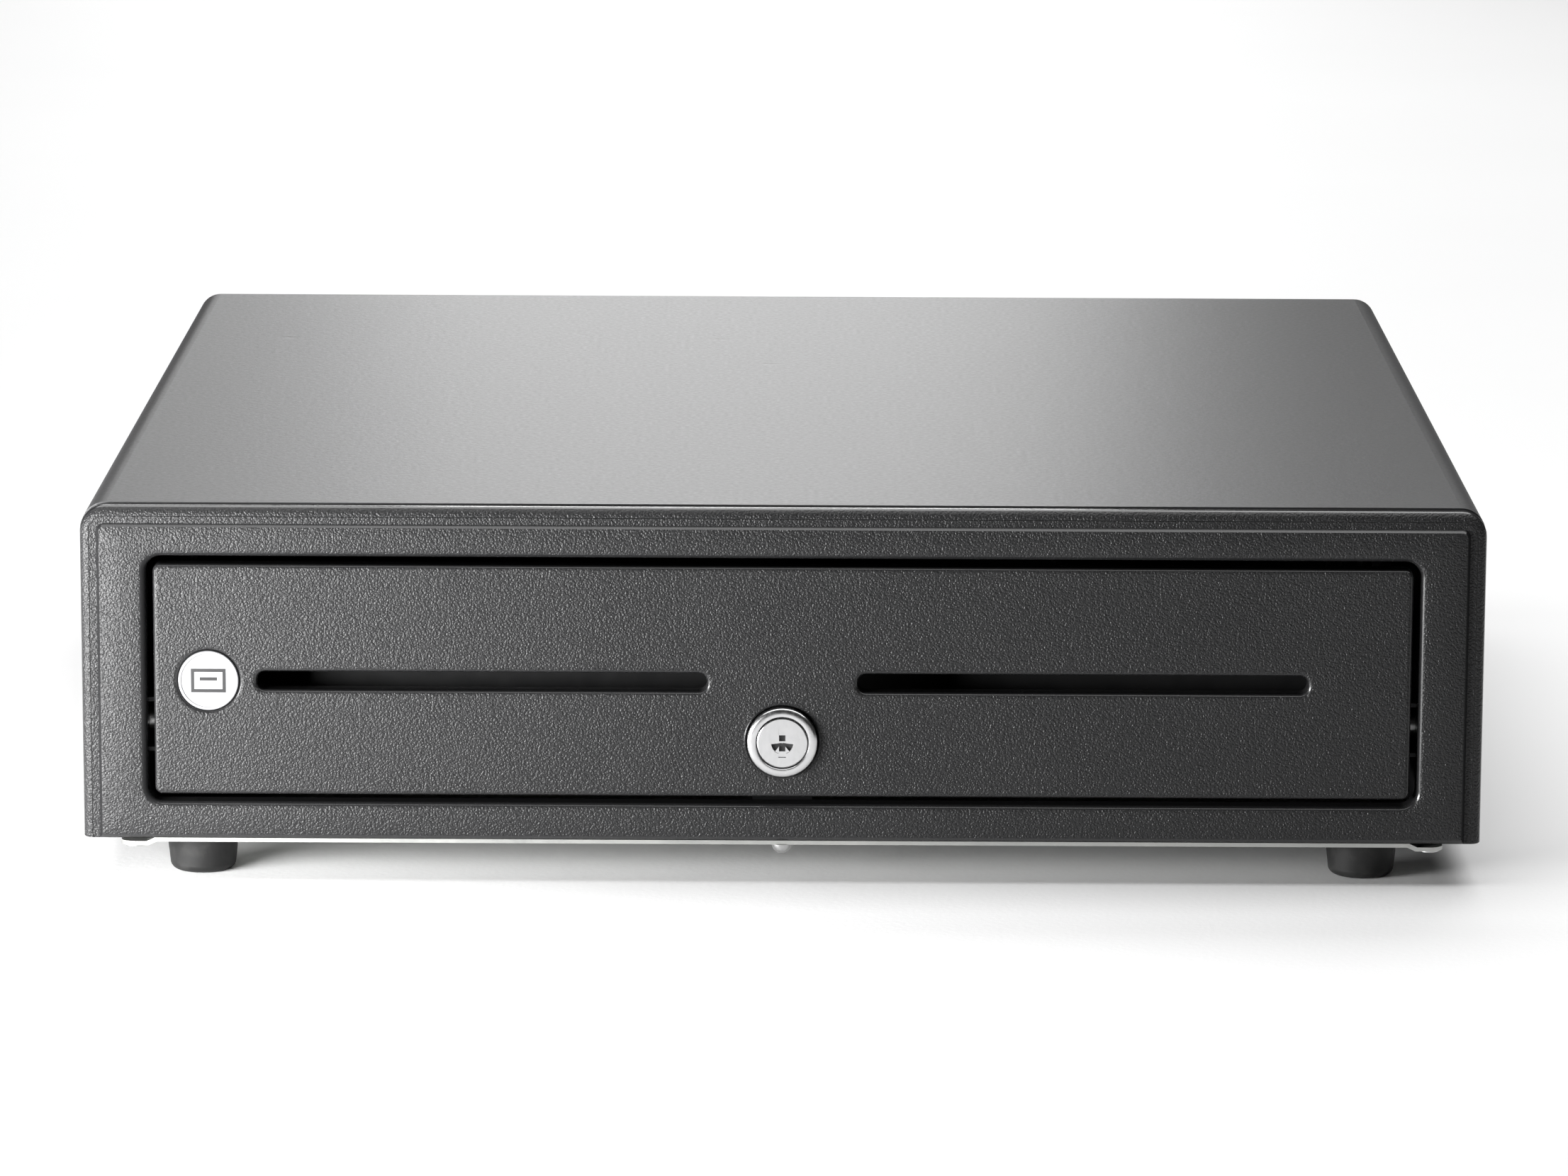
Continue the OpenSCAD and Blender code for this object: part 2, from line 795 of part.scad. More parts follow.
module drawer_port() {
    flange = 1;
    key_half = 3;                   // groove for the plug's latch
    key_depth = 2;
    color([0.1, 0.1, 0.1])
    difference() {
        union() {
            block([port_x - port_w / 2, port_y0, port_z - port_h / 2],
                  [port_x + port_w / 2, y_back, port_z + port_h / 2]);
            block([port_x - port_w / 2 - flange, rear_y + sheet_t, port_z - port_h / 2 - flange],
                  [port_x + port_w / 2 + flange, y_back, port_z + port_h / 2 + flange]);
        }
        block([port_x - socket_w / 2, socket_y0, port_z - socket_h / 2],
              [port_x + socket_w / 2, y_back + past, port_z + socket_h / 2]);
        block([port_x - key_half, socket_y0, port_z - socket_h / 2 - key_depth],
              [port_x + key_half, y_back + past, port_z - socket_h / 2 + lap]);
    }
}

module port_contacts() {
    pitch = 1.27;
    count = 6;
    wire = 0.5;
    reach = 9;
    top = port_z + socket_h / 2;
    color("gold")
    for (i = [0 : count - 1]) {
        x = port_x + (i - (count - 1) / 2) * pitch;
        block([x - wire / 2, socket_y0, top - wire], [x + wire / 2, socket_y0 + reach, top]);
    }
}

// Lead from the solenoid to the port, clear of everything that moves
module wire_harness() {
    lead_r = 1.6;
    bend = 8;
    straight = 2;
    under_port = 5;
    y = port_y0 - straight - bend;
    z = port_z - under_port;
    color([0.15, 0.15, 0.15])
    union() {
        rod_x(lead_r, coil_x[1], port_x - bend, y, z);
        translate([port_x - bend, y + bend, z]) rotate([0, 0, -90])
            rotate_extrude(angle = 90) translate([bend, 0]) circle(r = lead_r);
        rod_y(lead_r, y + bend, port_y0, port_x, z);
    }
}

// Tapered rubber foot, rounded at the table, with a sunk screw hole
module foot(x, y) {
    color([0.05, 0.05, 0.05])
    translate([x, y, 0])
        rotate_extrude()
            difference() {
                union() {
                    polygon([[0, foot_edge_r], [foot_base_r, foot_edge_r], [foot_top_r, pan_z], [0, pan_z]]);
                    translate([foot_base_r - foot_edge_r, foot_edge_r]) circle(r = foot_edge_r);
                    square([foot_base_r - foot_edge_r, foot_edge_r + lap]);
                }
                translate([-foot_top_r, -past]) square([foot_top_r, pan_z + 2 * past]);
                translate([0, -past]) square([foot_bore_r, pan_z + 2 * past]);
                translate([0, -past]) square([foot_sink_r, foot_sink_z + past]);
            }
}

module foot_front_left() {
    foot(-foot_x, foot_ys[0]);
}

module foot_front_right() {
    foot(foot_x, foot_ys[0]);
}

module foot_rear_left() {
    foot(-foot_x, foot_ys[1]);
}

module foot_rear_right() {
    foot(foot_x, foot_ys[1]);
}

module foot_screws() {
    head_r = 4.1;
    head_h = 2.4;
    shaft_len = 12;
    color("silver")
    for (x = [-foot_x, foot_x])
        for (y = foot_ys)
            screw_up(x, y, foot_sink_z, head_r, head_h, m4_r, shaft_len);
}

// Screws up through the pan: domed ones into the bezel, flat ones into the cover's flanges
module pan_screws() {
    dome_h = 3.1;
    dome_half = 3.25;
    dome_r = (dome_half * dome_half + dome_h * dome_h) / (2 * dome_h);
    head_r = 2.9;
    head_h = 1.8;
    shaft_len = 4.5;
    color("silver")
    union() {
        for (x = bezel_screw_xs) {
            intersection() {
                translate([x, bezel_screw_y, pan_z - dome_h + dome_r]) sphere(r = dome_r);
                rod_z(dome_half, pan_z - dome_h - past, pan_z, x, bezel_screw_y);
            }
            rod_z(m3_r, pan_z - lap, body_z + bezel_screw_len, x, bezel_screw_y);
        }
        for (x = [-tab_screw_x, tab_screw_x])
            for (y = tab_ys)
                screw_up(x, y, pan_z - tab_drop, head_r, head_h, m3_r, shaft_len);
    }
}

// Flush screws through the cover's sides into the rear panel
module cover_screws() {
    color([0.3, 0.3, 0.3])
    for (side = [-1, 1])
        for (z = cover_screw_zs)
            on_side(side) {
                rod_x(cover_head_r, half_w - sheet_t, half_w, cover_screw_y, z);
                rod_x(m3_r, half_w - cover_screw_len, half_w - sheet_t + lap, cover_screw_y, z);
            }
}

// Steel box of the drawer, welded from a floor, two sides and two ends
module drawer_floor() {
    half = box_w / 2 - sheet_t;
    color([0.3, 0.3, 0.31])
    difference() {
        block([-half, box_y0 + sheet_t, box_z0], [half, box_y1 - sheet_t, box_z0 + sheet_t]);
        block([-cam_slot_half, cam_y0 - cam_slot_gap, box_z0 - past],
              [cam_slot_half, cam_y0 + cam_t + cam_slot_gap, box_z0 + sheet_t + past]);
    }
}

// Each side carries the ledge that the till rests on
module drawer_sides() {
    half = box_w / 2;
    color([0.3, 0.3, 0.31])
    for (side = [-1, 1])
        on_side(side)
            union() {
                block([half - sheet_t, box_y0 + sheet_t, box_z0], [half, box_y1 - sheet_t, box_side_z]);
                block([half - ledge_w, till_y0, till_z0 - sheet_t], [half - lap, till_y1, till_z0]);
            }
}

module drawer_ends() {
    half = box_w / 2;
    wall = [box_y0 - past, box_y0 + sheet_t + past];  // past both faces of the front wall
    color([0.3, 0.3, 0.31])
    union() {
        difference() {
            block([-half, box_y0, box_z0], [half, box_y0 + sheet_t, box_side_z]);
            slots(wall[0], wall[1], slot_margin);
            rod_y(barrel_r + loose, wall[0], wall[1], 0, lock_z);
            for (x = front_screw_xs)
                for (z = front_screw_zs)
                    rod_y(m3_r + fit, wall[0], wall[1], x, z);
        }
        block([-half, box_y1 - sheet_t, box_z0], [half, box_y1, box_rear_z]);
    }
}

module drawer_front() {
    corner = 2.3;
    inner_corner = 1;
    skin = y_face + past;           // inside the front plate
    lock_boss = 2;
    screw_boss_r = 4;
    color([0.16, 0.16, 0.17])
    difference() {
        union() {
            push(y_face, y_face + front_t)
                rounded_rect(front_half, front_z0, front_z1, corner, corner);
            push(skin, box_y0)
                difference() {
                    rounded_rect(front_half, front_z0, front_z1, corner, corner);
                    rounded_rect(front_half - skirt_t, front_z0 + skirt_t, front_z1 - skirt_t,
                                 inner_corner, inner_corner);
                }
            slots(skin, box_y0, slot_sleeve);
            rod_y(recess_r + lock_boss, skin, box_y0, 0, lock_z);
            for (x = front_screw_xs)
                for (z = front_screw_zs)
                    rod_y(screw_boss_r, skin, box_y0, x, z);
        }
        slots(y_face - past, box_y0 + past, 0);
        rod_y(recess_r, y_face - past, y_face + recess_depth, 0, lock_z);
        rod_y(barrel_r + loose, y_face, box_y0 + past, 0, lock_z);
        rod_y(badge_r + snug, y_face - past, y_face + badge_t, badge_x, slot_z);
        for (x = front_screw_xs)
            for (z = front_screw_zs)
                rod_y(m3_r + fit, box_y0 - front_screw_len - lap, box_y0 + past, x, z);
    }
}

// Plain disc with a raised rim
module badge() {
    rim = 0.8;
    dish = 0.3;
    color([0.85, 0.85, 0.86])
    difference() {
        rod_y(badge_r, y_face, y_face + badge_t, badge_x, slot_z);
        rod_y(badge_r - rim, y_face - past, y_face + dish, badge_x, slot_z);
    }
}

module front_screws() {
    head_r = 3;
    head_h = 2;
    color("silver")
    for (x = front_screw_xs)
        for (z = front_screw_zs) {
            rod_y(head_r, box_y0 + sheet_t, box_y0 + sheet_t + head_h, x, z);
            rod_y(m3_r, box_y0 - front_screw_len, box_y0 + sheet_t + lap, x, z);
        }
}

module lock_barrel() {
    head_edge = 0.8;
    color([0.85, 0.85, 0.86])
    difference() {
        union() {
            rod_y(lock_head_r - head_edge, y_front, y_front + head_edge + lap, 0, lock_z);
            rod_y(lock_head_r, y_front + head_edge, y_face + recess_depth, 0, lock_z);
            rod_y(barrel_r, y_face + recess_depth - lap, barrel_y1, 0, lock_z);
        }
        rod_y(plug_r + fit, y_front - past, barrel_y1 + past, 0, lock_z);
        rod_y(plug_ring_r, y_front - past, y_front + plug_seat, 0, lock_z);
    }
}

// Hexagon nut that clamps the lock to the steel box
module lock_nut() {
    nut_r = 12.4;
    nut_h = 3.5;
    color("silver")
    difference() {
        translate([0, box_y0 + sheet_t, lock_z]) rotate([-90, 0, 0])
            cylinder(r = nut_r, h = nut_h, $fn = 6);
        rod_y(barrel_r + fit, box_y0, box_y0 + sheet_t + nut_h + past, 0, lock_z);
    }
}

module lock_plug() {
    keyway_w = 2.1;
    keyway_h = 5;
    keyway_len = 17;
    dish_r = 3.4;
    dish_depth = 0.8;
    face_inset = 0.2;
    face_y = y_front + face_inset;
    face_t = 1.5;
    neck_r = 4;
    color([0.8, 0.8, 0.8])
    difference() {
        union() {
            rod_y(plug_face_r, face_y, face_y + face_t, 0, lock_z);
            rod_y(plug_r, face_y + face_t - lap, barrel_y1, 0, lock_z);
            rod_y(neck_r, barrel_y1 - lap, cam_y0, 0, lock_z);
        }
        rod_y(dish_r, y_front - past, y_front + dish_depth, 0, lock_z);
        block([-keyway_w / 2, y_front - past, lock_z - keyway_h / 2],
              [keyway_w / 2, y_front + keyway_len, lock_z + keyway_h / 2]);
        rod_y(m3_r + fit, cam_y0 - cam_screw_len - past, cam_y0 + past, 0, lock_z);
    }
}

// Cam, pointing sideways while the lock is open
module lock_cam() {
    color("silver")
    push(cam_y0, cam_y0 + cam_t)
        translate([0, lock_z])
            difference() {
                union() {
                    circle(r = cam_w / 2);
                    translate([-cam_len, -cam_w / 2]) square([cam_len, cam_w]);
                }
                circle(r = m3_r + fit);
            }
}

module cam_screw() {
    head_r = 3.5;
    head_h = 1.6;
    color([0.4, 0.4, 0.4])
    union() {
        rod_y(head_r, cam_y0 + cam_t, cam_y0 + cam_t + head_h, 0, lock_z);
        rod_y(m3_r, cam_y0 - cam_screw_len, cam_y0 + cam_t + lap, 0, lock_z);
    }
}

module drawer_rail(side) {
    front_inset = 3;
    past_roller = 12;
    y0 = box_y0 + front_inset;
    y1 = rear_roller_y + past_roller;
    color([0.7, 0.7, 0.7])
    on_side(side)
    difference() {
        union() {
            block([drawer_web_x, y0, rail_z - rail_half],
                  [drawer_web_x + rail_t, y1, rail_z + rail_half]);
            for (z = [rail_z - rail_half, rail_z + rail_gap / 2])
                block([drawer_web_x + lap, y0, z], [drawer_lip_x, y1, z + rail_t]);
        }
        rod_x(axle_r + fit, drawer_web_x - past, drawer_web_x + rail_t + past,
              rear_roller_y, rail_z);
    }
}

module drawer_rail_left() {
    drawer_rail(-1);
}

module drawer_rail_right() {
    drawer_rail(1);
}

// Open tray: coins in front, notes behind, divided by one cross wall
module till_tray() {
    color([0.1, 0.1, 0.11])
    difference() {
        block([-till_half, till_y0, till_z0], [till_half, till_y1, till_z1]);
        block([-bay_half, till_y0 + till_t, till_z0 + till_floor],
              [bay_half, coin_y1, till_z1 + past]);
        block([-bay_half, bay_y0, till_z0 + till_floor], [bay_half, bay_y1, till_z1 + past]);
        rod_x(rod_r + fit, -rod_half - loose, rod_half + loose, rod_y, rod_z);
    }
}

// Space of one coin cup, grown by a wall: straight sides over a scooped floor
module cup_space(column, row, wall) {
    x = (column - (coin_columns - 1) / 2) * (cup_w + cup_wall);
    y = coin_y0 + cup_wall + cup_len / 2 + row * (cup_len + cup_wall);
    intersection() {
        block([x - cup_w / 2 - wall, y - cup_len / 2 - wall, cup_z0 - wall],
              [x + cup_w / 2 + wall, y + cup_len / 2 + wall, coin_z1 + (wall > 0 ? 0 : past)]);
        rod_x(cup_r + wall, x - cup_w / 2 - wall - past, x + cup_w / 2 + wall + past,
              y, cup_z0 + cup_r);
    }
}

module coin_tray() {
    color([0.1, 0.1, 0.11])
    difference() {
        for (column = [0 : coin_columns - 1])
            for (row = [0 : 1])
                cup_space(column, row, cup_wall);
        for (column = [0 : coin_columns - 1])
            for (row = [0 : 1])
                cup_space(column, row, 0);
    }
}

module bill_dividers() {
    color([0.1, 0.1, 0.11])
    for (i = [1 : note_bays - 1]) {
        x = -bay_half + i * bay_pitch - divider_t;
        difference() {
            block([x, bay_y0, till_z0 + till_floor], [x + divider_t, bay_y1, divider_z1]);
            rod_x(rod_r + fit, x - past, x + divider_t + past, rod_y, rod_z);
        }
    }
}

module clip_rod() {
    color("silver")
    rod_x(rod_r, -rod_half, rod_half, rod_y, rod_z);
}

// Middle of a note bay, counted from the left
function bay_x(i) = -bay_half + bay_w / 2 + (i - 1) * bay_pitch;

module clip_springs() {
    outer_r = 4.4;
    wire = 1.2;
    len = 9;
    turns = 7;
    beside = 1;                     // gap to the clip's hub
    color("silver")
    for (i = [1 : note_bays])
        translate([bay_x(i) + clip_hub_w / 2 + beside, rod_y, rod_z]) rotate([0, 90, 0])
            coil(outer_r, wire, len, turns);
}

// Sprung arm with a paddle that lies flat on the notes
module bill_clip(i) {
    tip_y = rod_y - clip_len * cos(clip_drop);
    color([0.12, 0.12, 0.13])
    difference() {
        union() {
            rod_x(clip_hub_r, bay_x(i) - clip_hub_w / 2, bay_x(i) + clip_hub_w / 2, rod_y, rod_z);
            translate([bay_x(i), rod_y, rod_z]) rotate([clip_drop, 0, 0])
                block([-clip_w / 2, -clip_len, -clip_t / 2], [clip_w / 2, 0, clip_t / 2]);
            push_x(bay_x(i) - paddle_w / 2, bay_x(i) + paddle_w / 2)
                union() {
                    translate([tip_y - paddle_len / 2, paddle_rest_z]) square([paddle_len, clip_t]);
                    for (s = [-1, 1])
                        translate([tip_y + s * paddle_len / 2, paddle_rest_z + clip_t / 2])
                            circle(d = clip_t, $fn = 32);
                }
        }
        rod_x(rod_r + fit, bay_x(i) - clip_hub_w, bay_x(i) + clip_hub_w, rod_y, rod_z);
    }
}

module bill_clip_1() {
    bill_clip(1);
}

module bill_clip_2() {
    bill_clip(2);
}

module bill_clip_3() {
    bill_clip(3);
}

module bill_clip_4() {
    bill_clip(4);
}

module bill_clip_5() {
    bill_clip(5);
}

// Plate and pin on the drawer's back, which the latch hooks
module striker() {
    plate_z = 40;
    plate_t = 1.5;
    half = 9;
    flange = 8;
    margin = 4;                     // plate beyond the pin's middle
    over_lever = 2;
    color("silver")
    union() {
        block([-half, box_y1, plate_z - flange], [half, box_y1 + plate_t, plate_z + flange]);
        block([-half, box_y1, plate_z], [half, striker_y + margin, plate_z + plate_t]);
        rod_z(striker_r, plate_z + lap, lever_z[1] + over_lever, 0, striker_y);
    }
}

cover();
rear_panel();
base_pan();
front_bezel();
rail_support_left();
rail_support_right();
slide_rail_left();
slide_rail_right();
front_axles();
lock_strike();
latch_bracket();
latch_pin();
solenoid_frame();
solenoid_coil();
kick_spring();
spring_guide();
switch_body();
drawer_port();
port_contacts();
wire_harness();
foot_front_left();
foot_front_right();
foot_rear_left();
foot_rear_right();
foot_screws();
cover_screws();
pan_screws();
drawer_floor();
drawer_sides();
drawer_ends();
drawer_front();
badge();
front_screws();
lock_barrel();
lock_nut();
drawer_rail_left();
drawer_rail_right();
rear_axles();
till_tray();
coin_tray();
bill_dividers();
clip_rod();
clip_springs();
striker();
lock_plug();
lock_cam();
cam_screw();
front_roller_left();
front_roller_right();
rear_roller_left();
rear_roller_right();
latch_lever();
latch_spring();
solenoid_plunger();
switch_lever();
bill_clip_1();
bill_clip_2();
bill_clip_3();
bill_clip_4();
bill_clip_5();
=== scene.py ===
"""Looks of a cash drawer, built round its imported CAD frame. Metres, Z up, front towards -Y."""
import json
import math

import bmesh
import bpy
from mathutils import Matrix, Vector


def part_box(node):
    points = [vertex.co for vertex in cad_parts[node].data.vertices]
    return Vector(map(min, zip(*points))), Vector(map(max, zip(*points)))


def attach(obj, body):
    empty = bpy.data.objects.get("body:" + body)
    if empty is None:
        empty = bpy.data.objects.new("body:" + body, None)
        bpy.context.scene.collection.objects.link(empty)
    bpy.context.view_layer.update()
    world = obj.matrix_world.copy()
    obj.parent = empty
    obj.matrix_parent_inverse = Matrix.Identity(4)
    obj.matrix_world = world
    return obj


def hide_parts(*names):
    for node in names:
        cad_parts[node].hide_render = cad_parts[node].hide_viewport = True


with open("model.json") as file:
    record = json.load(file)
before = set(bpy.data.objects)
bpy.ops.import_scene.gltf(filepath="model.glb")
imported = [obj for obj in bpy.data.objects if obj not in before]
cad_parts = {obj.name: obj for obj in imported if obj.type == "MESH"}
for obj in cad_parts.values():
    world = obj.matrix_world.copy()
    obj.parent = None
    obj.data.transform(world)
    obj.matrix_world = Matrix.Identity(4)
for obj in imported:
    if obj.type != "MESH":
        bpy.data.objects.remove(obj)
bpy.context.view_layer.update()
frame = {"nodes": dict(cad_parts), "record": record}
MM = 0.001

# ---------------------------------------------------------------- sizes read from the frame

BEZEL_LOW, BEZEL_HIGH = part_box("front_bezel")
FRONT_LOW, FRONT_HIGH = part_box("drawer_front")
LOCK_LOW, LOCK_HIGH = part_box("lock_barrel")
BADGE_LOW, BADGE_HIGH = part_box("badge")
FACE_Y = FRONT_LOW.y
LOCK_AT = (LOCK_LOW + LOCK_HIGH) / 2
BADGE_AT = (BADGE_LOW + BADGE_HIGH) / 2


# ---------------------------------------------------------------- camera, lights and floor

CAMERA_AT = (0.0055, -2.212, 0.48393)
CAMERA_DOWN, CAMERA_YAW, CAMERA_ROLL = 11.11, -0.148, 0.255
CAMERA_LENS, CAMERA_SENSOR = 157.96, 36
ROOM_LIGHT = 0.04
FLOOR_HALF = 6

# Each softbox is where it hangs, the point it faces, its two sides in metres and its watts.
SOFTBOXES = {
    "key": ((-0.42, -0.46, 0.075), (-0.17, -0.2, 0.05), (0.3, 0.13), 7.6),
    "overhead": ((0.15, -0.2, 1.3), (0.15, -0.2, 0), (2.4, 0.8), 19),
    "back_overhead": ((0, 1.6, 1.9), (0, 1.2, 0), (2.4, 1.6), 45),
    "back_strip": ((-0.03, 2.75, 0.62), (0, 0.1, 0.1), (0.55, 0.5), 4.6),
    "back_left": ((-0.45, 2.75, 0.62), (-0.1, 0.1, 0.1), (0.4, 0.5), 1.3),
}


def show(item):
    """Puts an object in the scene."""
    bpy.context.scene.collection.objects.link(item)
    return item


def add_camera():
    """A long lens in front of the drawer, a little above it. The angles are in degrees."""
    pitch, yaw, roll = (math.radians(a) for a in (CAMERA_DOWN, CAMERA_YAW, CAMERA_ROLL))
    ahead = Vector((math.sin(yaw) * math.cos(pitch), math.cos(yaw) * math.cos(pitch), -math.sin(pitch)))
    level = ahead.cross(Vector((0, 0, 1))).normalized()
    upright = level.cross(ahead)
    right = math.cos(roll) * level + math.sin(roll) * upright
    up = math.cos(roll) * upright - math.sin(roll) * level
    data = bpy.data.cameras.new("camera")
    data.sensor_width = CAMERA_SENSOR
    data.lens = CAMERA_LENS
    camera = bpy.data.objects.new("camera", data)
    turn = Matrix((right, up, -ahead)).transposed().to_4x4()
    camera.matrix_world = Matrix.Translation(CAMERA_AT) @ turn
    bpy.context.scene.camera = show(camera)


def add_softbox(name, at, aim, size, power):
    """Rectangular light at a point, facing another, that the camera doesn't see."""
    data = bpy.data.lights.new(name, "AREA")
    data.shape = "RECTANGLE"
    data.size, data.size_y = size
    data.energy = power
    light = bpy.data.objects.new(name, data)
    light.location = at
    light.rotation_euler = (Vector(aim) - Vector(at)).to_track_quat("-Z", "Y").to_euler()
    light.visible_camera = False
    show(light)


def add_studio():
    """Pale floor, dark room, a low key close at the left, and strips behind for the top's sheen."""
    scene = bpy.context.scene
    scene.view_settings.view_transform = "Standard"
    scene.world = bpy.data.worlds.new("room")
    scene.world.use_nodes = True
    background = scene.world.node_tree.nodes["Background"]
    background.inputs["Color"].default_value = (1, 1, 1, 1)
    background.inputs["Strength"].default_value = ROOM_LIGHT
    for name, (at, aim, size, power) in SOFTBOXES.items():
        add_softbox(name, at, aim, size, power)
    mesh = bpy.data.meshes.new("floor")
    corners = ((-1, -1), (1, -1), (1, 1), (-1, 1))
    mesh.from_pydata([(x * FLOOR_HALF, y * FLOOR_HALF, 0) for x, y in corners], [], [(0, 1, 2, 3)])
    floor = bpy.data.objects.new("floor", mesh)
    floor.data.materials.append(floor_paper())
    show(floor)


# ---------------------------------------------------------------- materials

class Shader:
    """A node material built call by call. Each call gives the socket it made."""

    def __init__(self, name, color, roughness, metallic=0.0):
        self.material = bpy.data.materials.new(name)
        self.material.use_nodes = True
        self.tree = self.material.node_tree
        self.tree.nodes.clear()
        self.surface = self.tree.nodes.new("ShaderNodeBsdfPrincipled")
        end = self.tree.nodes.new("ShaderNodeOutputMaterial")
        self.tree.links.new(self.surface.outputs["BSDF"], end.inputs["Surface"])
        self.place = self.tree.nodes.new("ShaderNodeTexCoord").outputs["Object"]
        self.set("Base Color", (*color, 1))
        self.set("Roughness", roughness)
        self.set("Metallic", metallic)

    def set(self, name, value):
        """Gives the surface a value, or links a socket to it."""
        self.feed(self.surface.inputs[name], value)

    def feed(self, socket, value):
        if isinstance(value, bpy.types.NodeSocket):
            self.tree.links.new(value, socket)
        else:
            socket.default_value = value

    def stretch(self, scale):
        """Object coordinates, in metres, times a scale for each axis."""
        node = self.tree.nodes.new("ShaderNodeMapping")
        self.feed(node.inputs["Vector"], self.place)
        node.inputs["Scale"].default_value = scale
        return node.outputs["Vector"]

    def noise(self, size, detail=2.0, at=None):
        """Noise from 0 to 1 whose blobs are about size metres across."""
        node = self.tree.nodes.new("ShaderNodeTexNoise")
        self.feed(node.inputs["Vector"], at or self.place)
        node.inputs["Scale"].default_value = 1 / size
        node.inputs["Detail"].default_value = detail
        return node.outputs["Fac"]

    def cells(self, size, at=None):
        """Smooth Voronoi distance, with cells about size metres across."""
        node = self.tree.nodes.new("ShaderNodeTexVoronoi")
        node.feature = "SMOOTH_F1"
        self.feed(node.inputs["Vector"], at or self.place)
        node.inputs["Scale"].default_value = 1 / size
        node.inputs["Smoothness"].default_value = 0.6
        return node.outputs["Distance"]

    def spread(self, value, low, high, to_low=0.0, to_high=1.0):
        """Maps low..high on to to_low..to_high, and clamps."""
        node = self.tree.nodes.new("ShaderNodeMapRange")
        self.feed(node.inputs["Value"], value)
        ends = {"From Min": low, "From Max": high, "To Min": to_low, "To Max": to_high}
        for name, number in ends.items():
            node.inputs[name].default_value = number
        return node.outputs["Result"]

    def sum(self, first, second, operation="ADD"):
        """Adds two numbers, or does another operation on them."""
        node = self.tree.nodes.new("ShaderNodeMath")
        node.operation = operation
        self.feed(node.inputs[0], first)
        self.feed(node.inputs[1], second)
        return node.outputs["Value"]

    def wobble(self, size, reach):
        """Object coordinates pushed about by noise, so that a pattern isn't regular."""
        noise = self.tree.nodes.new("ShaderNodeTexNoise")
        self.feed(noise.inputs["Vector"], self.place)
        noise.inputs["Scale"].default_value = 1 / size
        push = self.tree.nodes.new("ShaderNodeVectorMath")
        push.operation = "MULTIPLY_ADD"
        self.feed(push.inputs[0], noise.outputs["Color"])
        push.inputs[1].default_value = (reach,) * 3
        self.feed(push.inputs[2], self.place)
        return push.outputs["Vector"]

    def mix(self, amount, first, second):
        """Colour from first to second as amount goes from 0 to 1."""
        node = self.tree.nodes.new("ShaderNodeMix")
        node.data_type = "RGBA"
        self.feed(node.inputs[0], amount)
        self.feed(node.inputs[6], (*first, 1) if isinstance(first, tuple) else first)
        self.feed(node.inputs[7], (*second, 1) if isinstance(second, tuple) else second)
        return node.outputs[2]

    def share(self, name):
        """A number stored on the mesh's faces or points."""
        node = self.tree.nodes.new("ShaderNodeAttribute")
        node.attribute_name = name
        return node.outputs["Fac"]

    def bump(self, height, depth, strength=1.0, under=None):
        """Turns a 0..1 height into a relief depth metres deep, on top of another one if given."""
        node = self.tree.nodes.new("ShaderNodeBump")
        self.feed(node.inputs["Height"], height)
        self.feed(node.inputs["Strength"], strength)
        node.inputs["Distance"].default_value = depth
        if under:
            self.feed(node.inputs["Normal"], under)
        return node.outputs["Normal"]


def floor_paper():
    """Seamless studio paper with a trace of tooth."""
    s = Shader("floor_paper", (0.86, 0.86, 0.86), 0.7)
    s.set("Base Color", s.mix(s.noise(0.4, 3), (0.84, 0.84, 0.84), (0.88, 0.88, 0.88)))
    s.set("Normal", s.bump(s.noise(0.002), 0.00005))
    return s.material


def grained_plastic():
    """Black moulding: leather grain where a face's 'grain' is 1, and painted shade, its sheen cut
    almost to nothing, on the faces marked for shade.
    """
    s = Shader("grained_plastic", (0.02, 0.02, 0.02), 0.4)
    grain = s.share("grain")
    sheen = s.spread(grain, 0, 1, 0.55, 0.29)
    # Painted shade: faces marked for it keep only 8 percent of their sheen, so they read dark.
    s.set("Specular IOR Level", s.sum(sheen, s.spread(s.share("painted_shade"), 0, 1, 1, 0.08), "MULTIPLY"))
    skin = s.wobble(0.0011, 0.0009)
    pebbles = s.cells(0.00066, at=skin)
    creases = s.noise(0.00045, 2)
    relief = s.sum(s.spread(pebbles, 0.05, 0.65), s.sum(creases, 0.9, "MULTIPLY"))
    s.set("Base Color", s.mix(s.noise(0.03, 3), (0.012, 0.012, 0.0125), (0.016, 0.016, 0.0165)))
    uneven = s.spread(s.sum(s.noise(0.012, 3), s.noise(0.0009)), 0.6, 1.4, -0.04, 0.04)
    s.set("Roughness", s.sum(uneven, s.spread(grain, 0, 1, 0.22, 0.38)))
    s.set("Normal", s.bump(relief, 0.00017, grain))
    return s.material


def powder_coat(name, color, gloss, weld_marks=()):
    """Fine-texture powder coat, with a faint dimple over each spot weld at (x, y) under it."""
    squash, dimple = 2.4, 0.005
    s = Shader(name, color, 0.4)
    s.set("Specular IOR Level", gloss)
    speckle = s.sum(s.noise(0.0007, 2), s.noise(0.0018, 1))
    darker, lighter = (tuple(c * scale for c in color) for scale in (0.85, 1.15))
    s.set("Base Color", s.mix(s.noise(0.0012, 3), darker, lighter))
    s.set("Roughness", s.spread(s.noise(0.0015, 2), 0.3, 0.7, 0.37, 0.43))
    normal = s.bump(speckle, 0.00004)
    for x, y in weld_marks:
        away = s.tree.nodes.new("ShaderNodeVectorMath")
        away.operation = "DISTANCE"
        s.feed(away.inputs[0], s.stretch((1, squash, 0)))
        away.inputs[1].default_value = (x, y * squash, 0)
        normal = s.bump(s.spread(away.outputs["Value"], 0, dimple), 0.00018, 0.5, under=normal)
    s.set("Normal", normal)
    return s.material


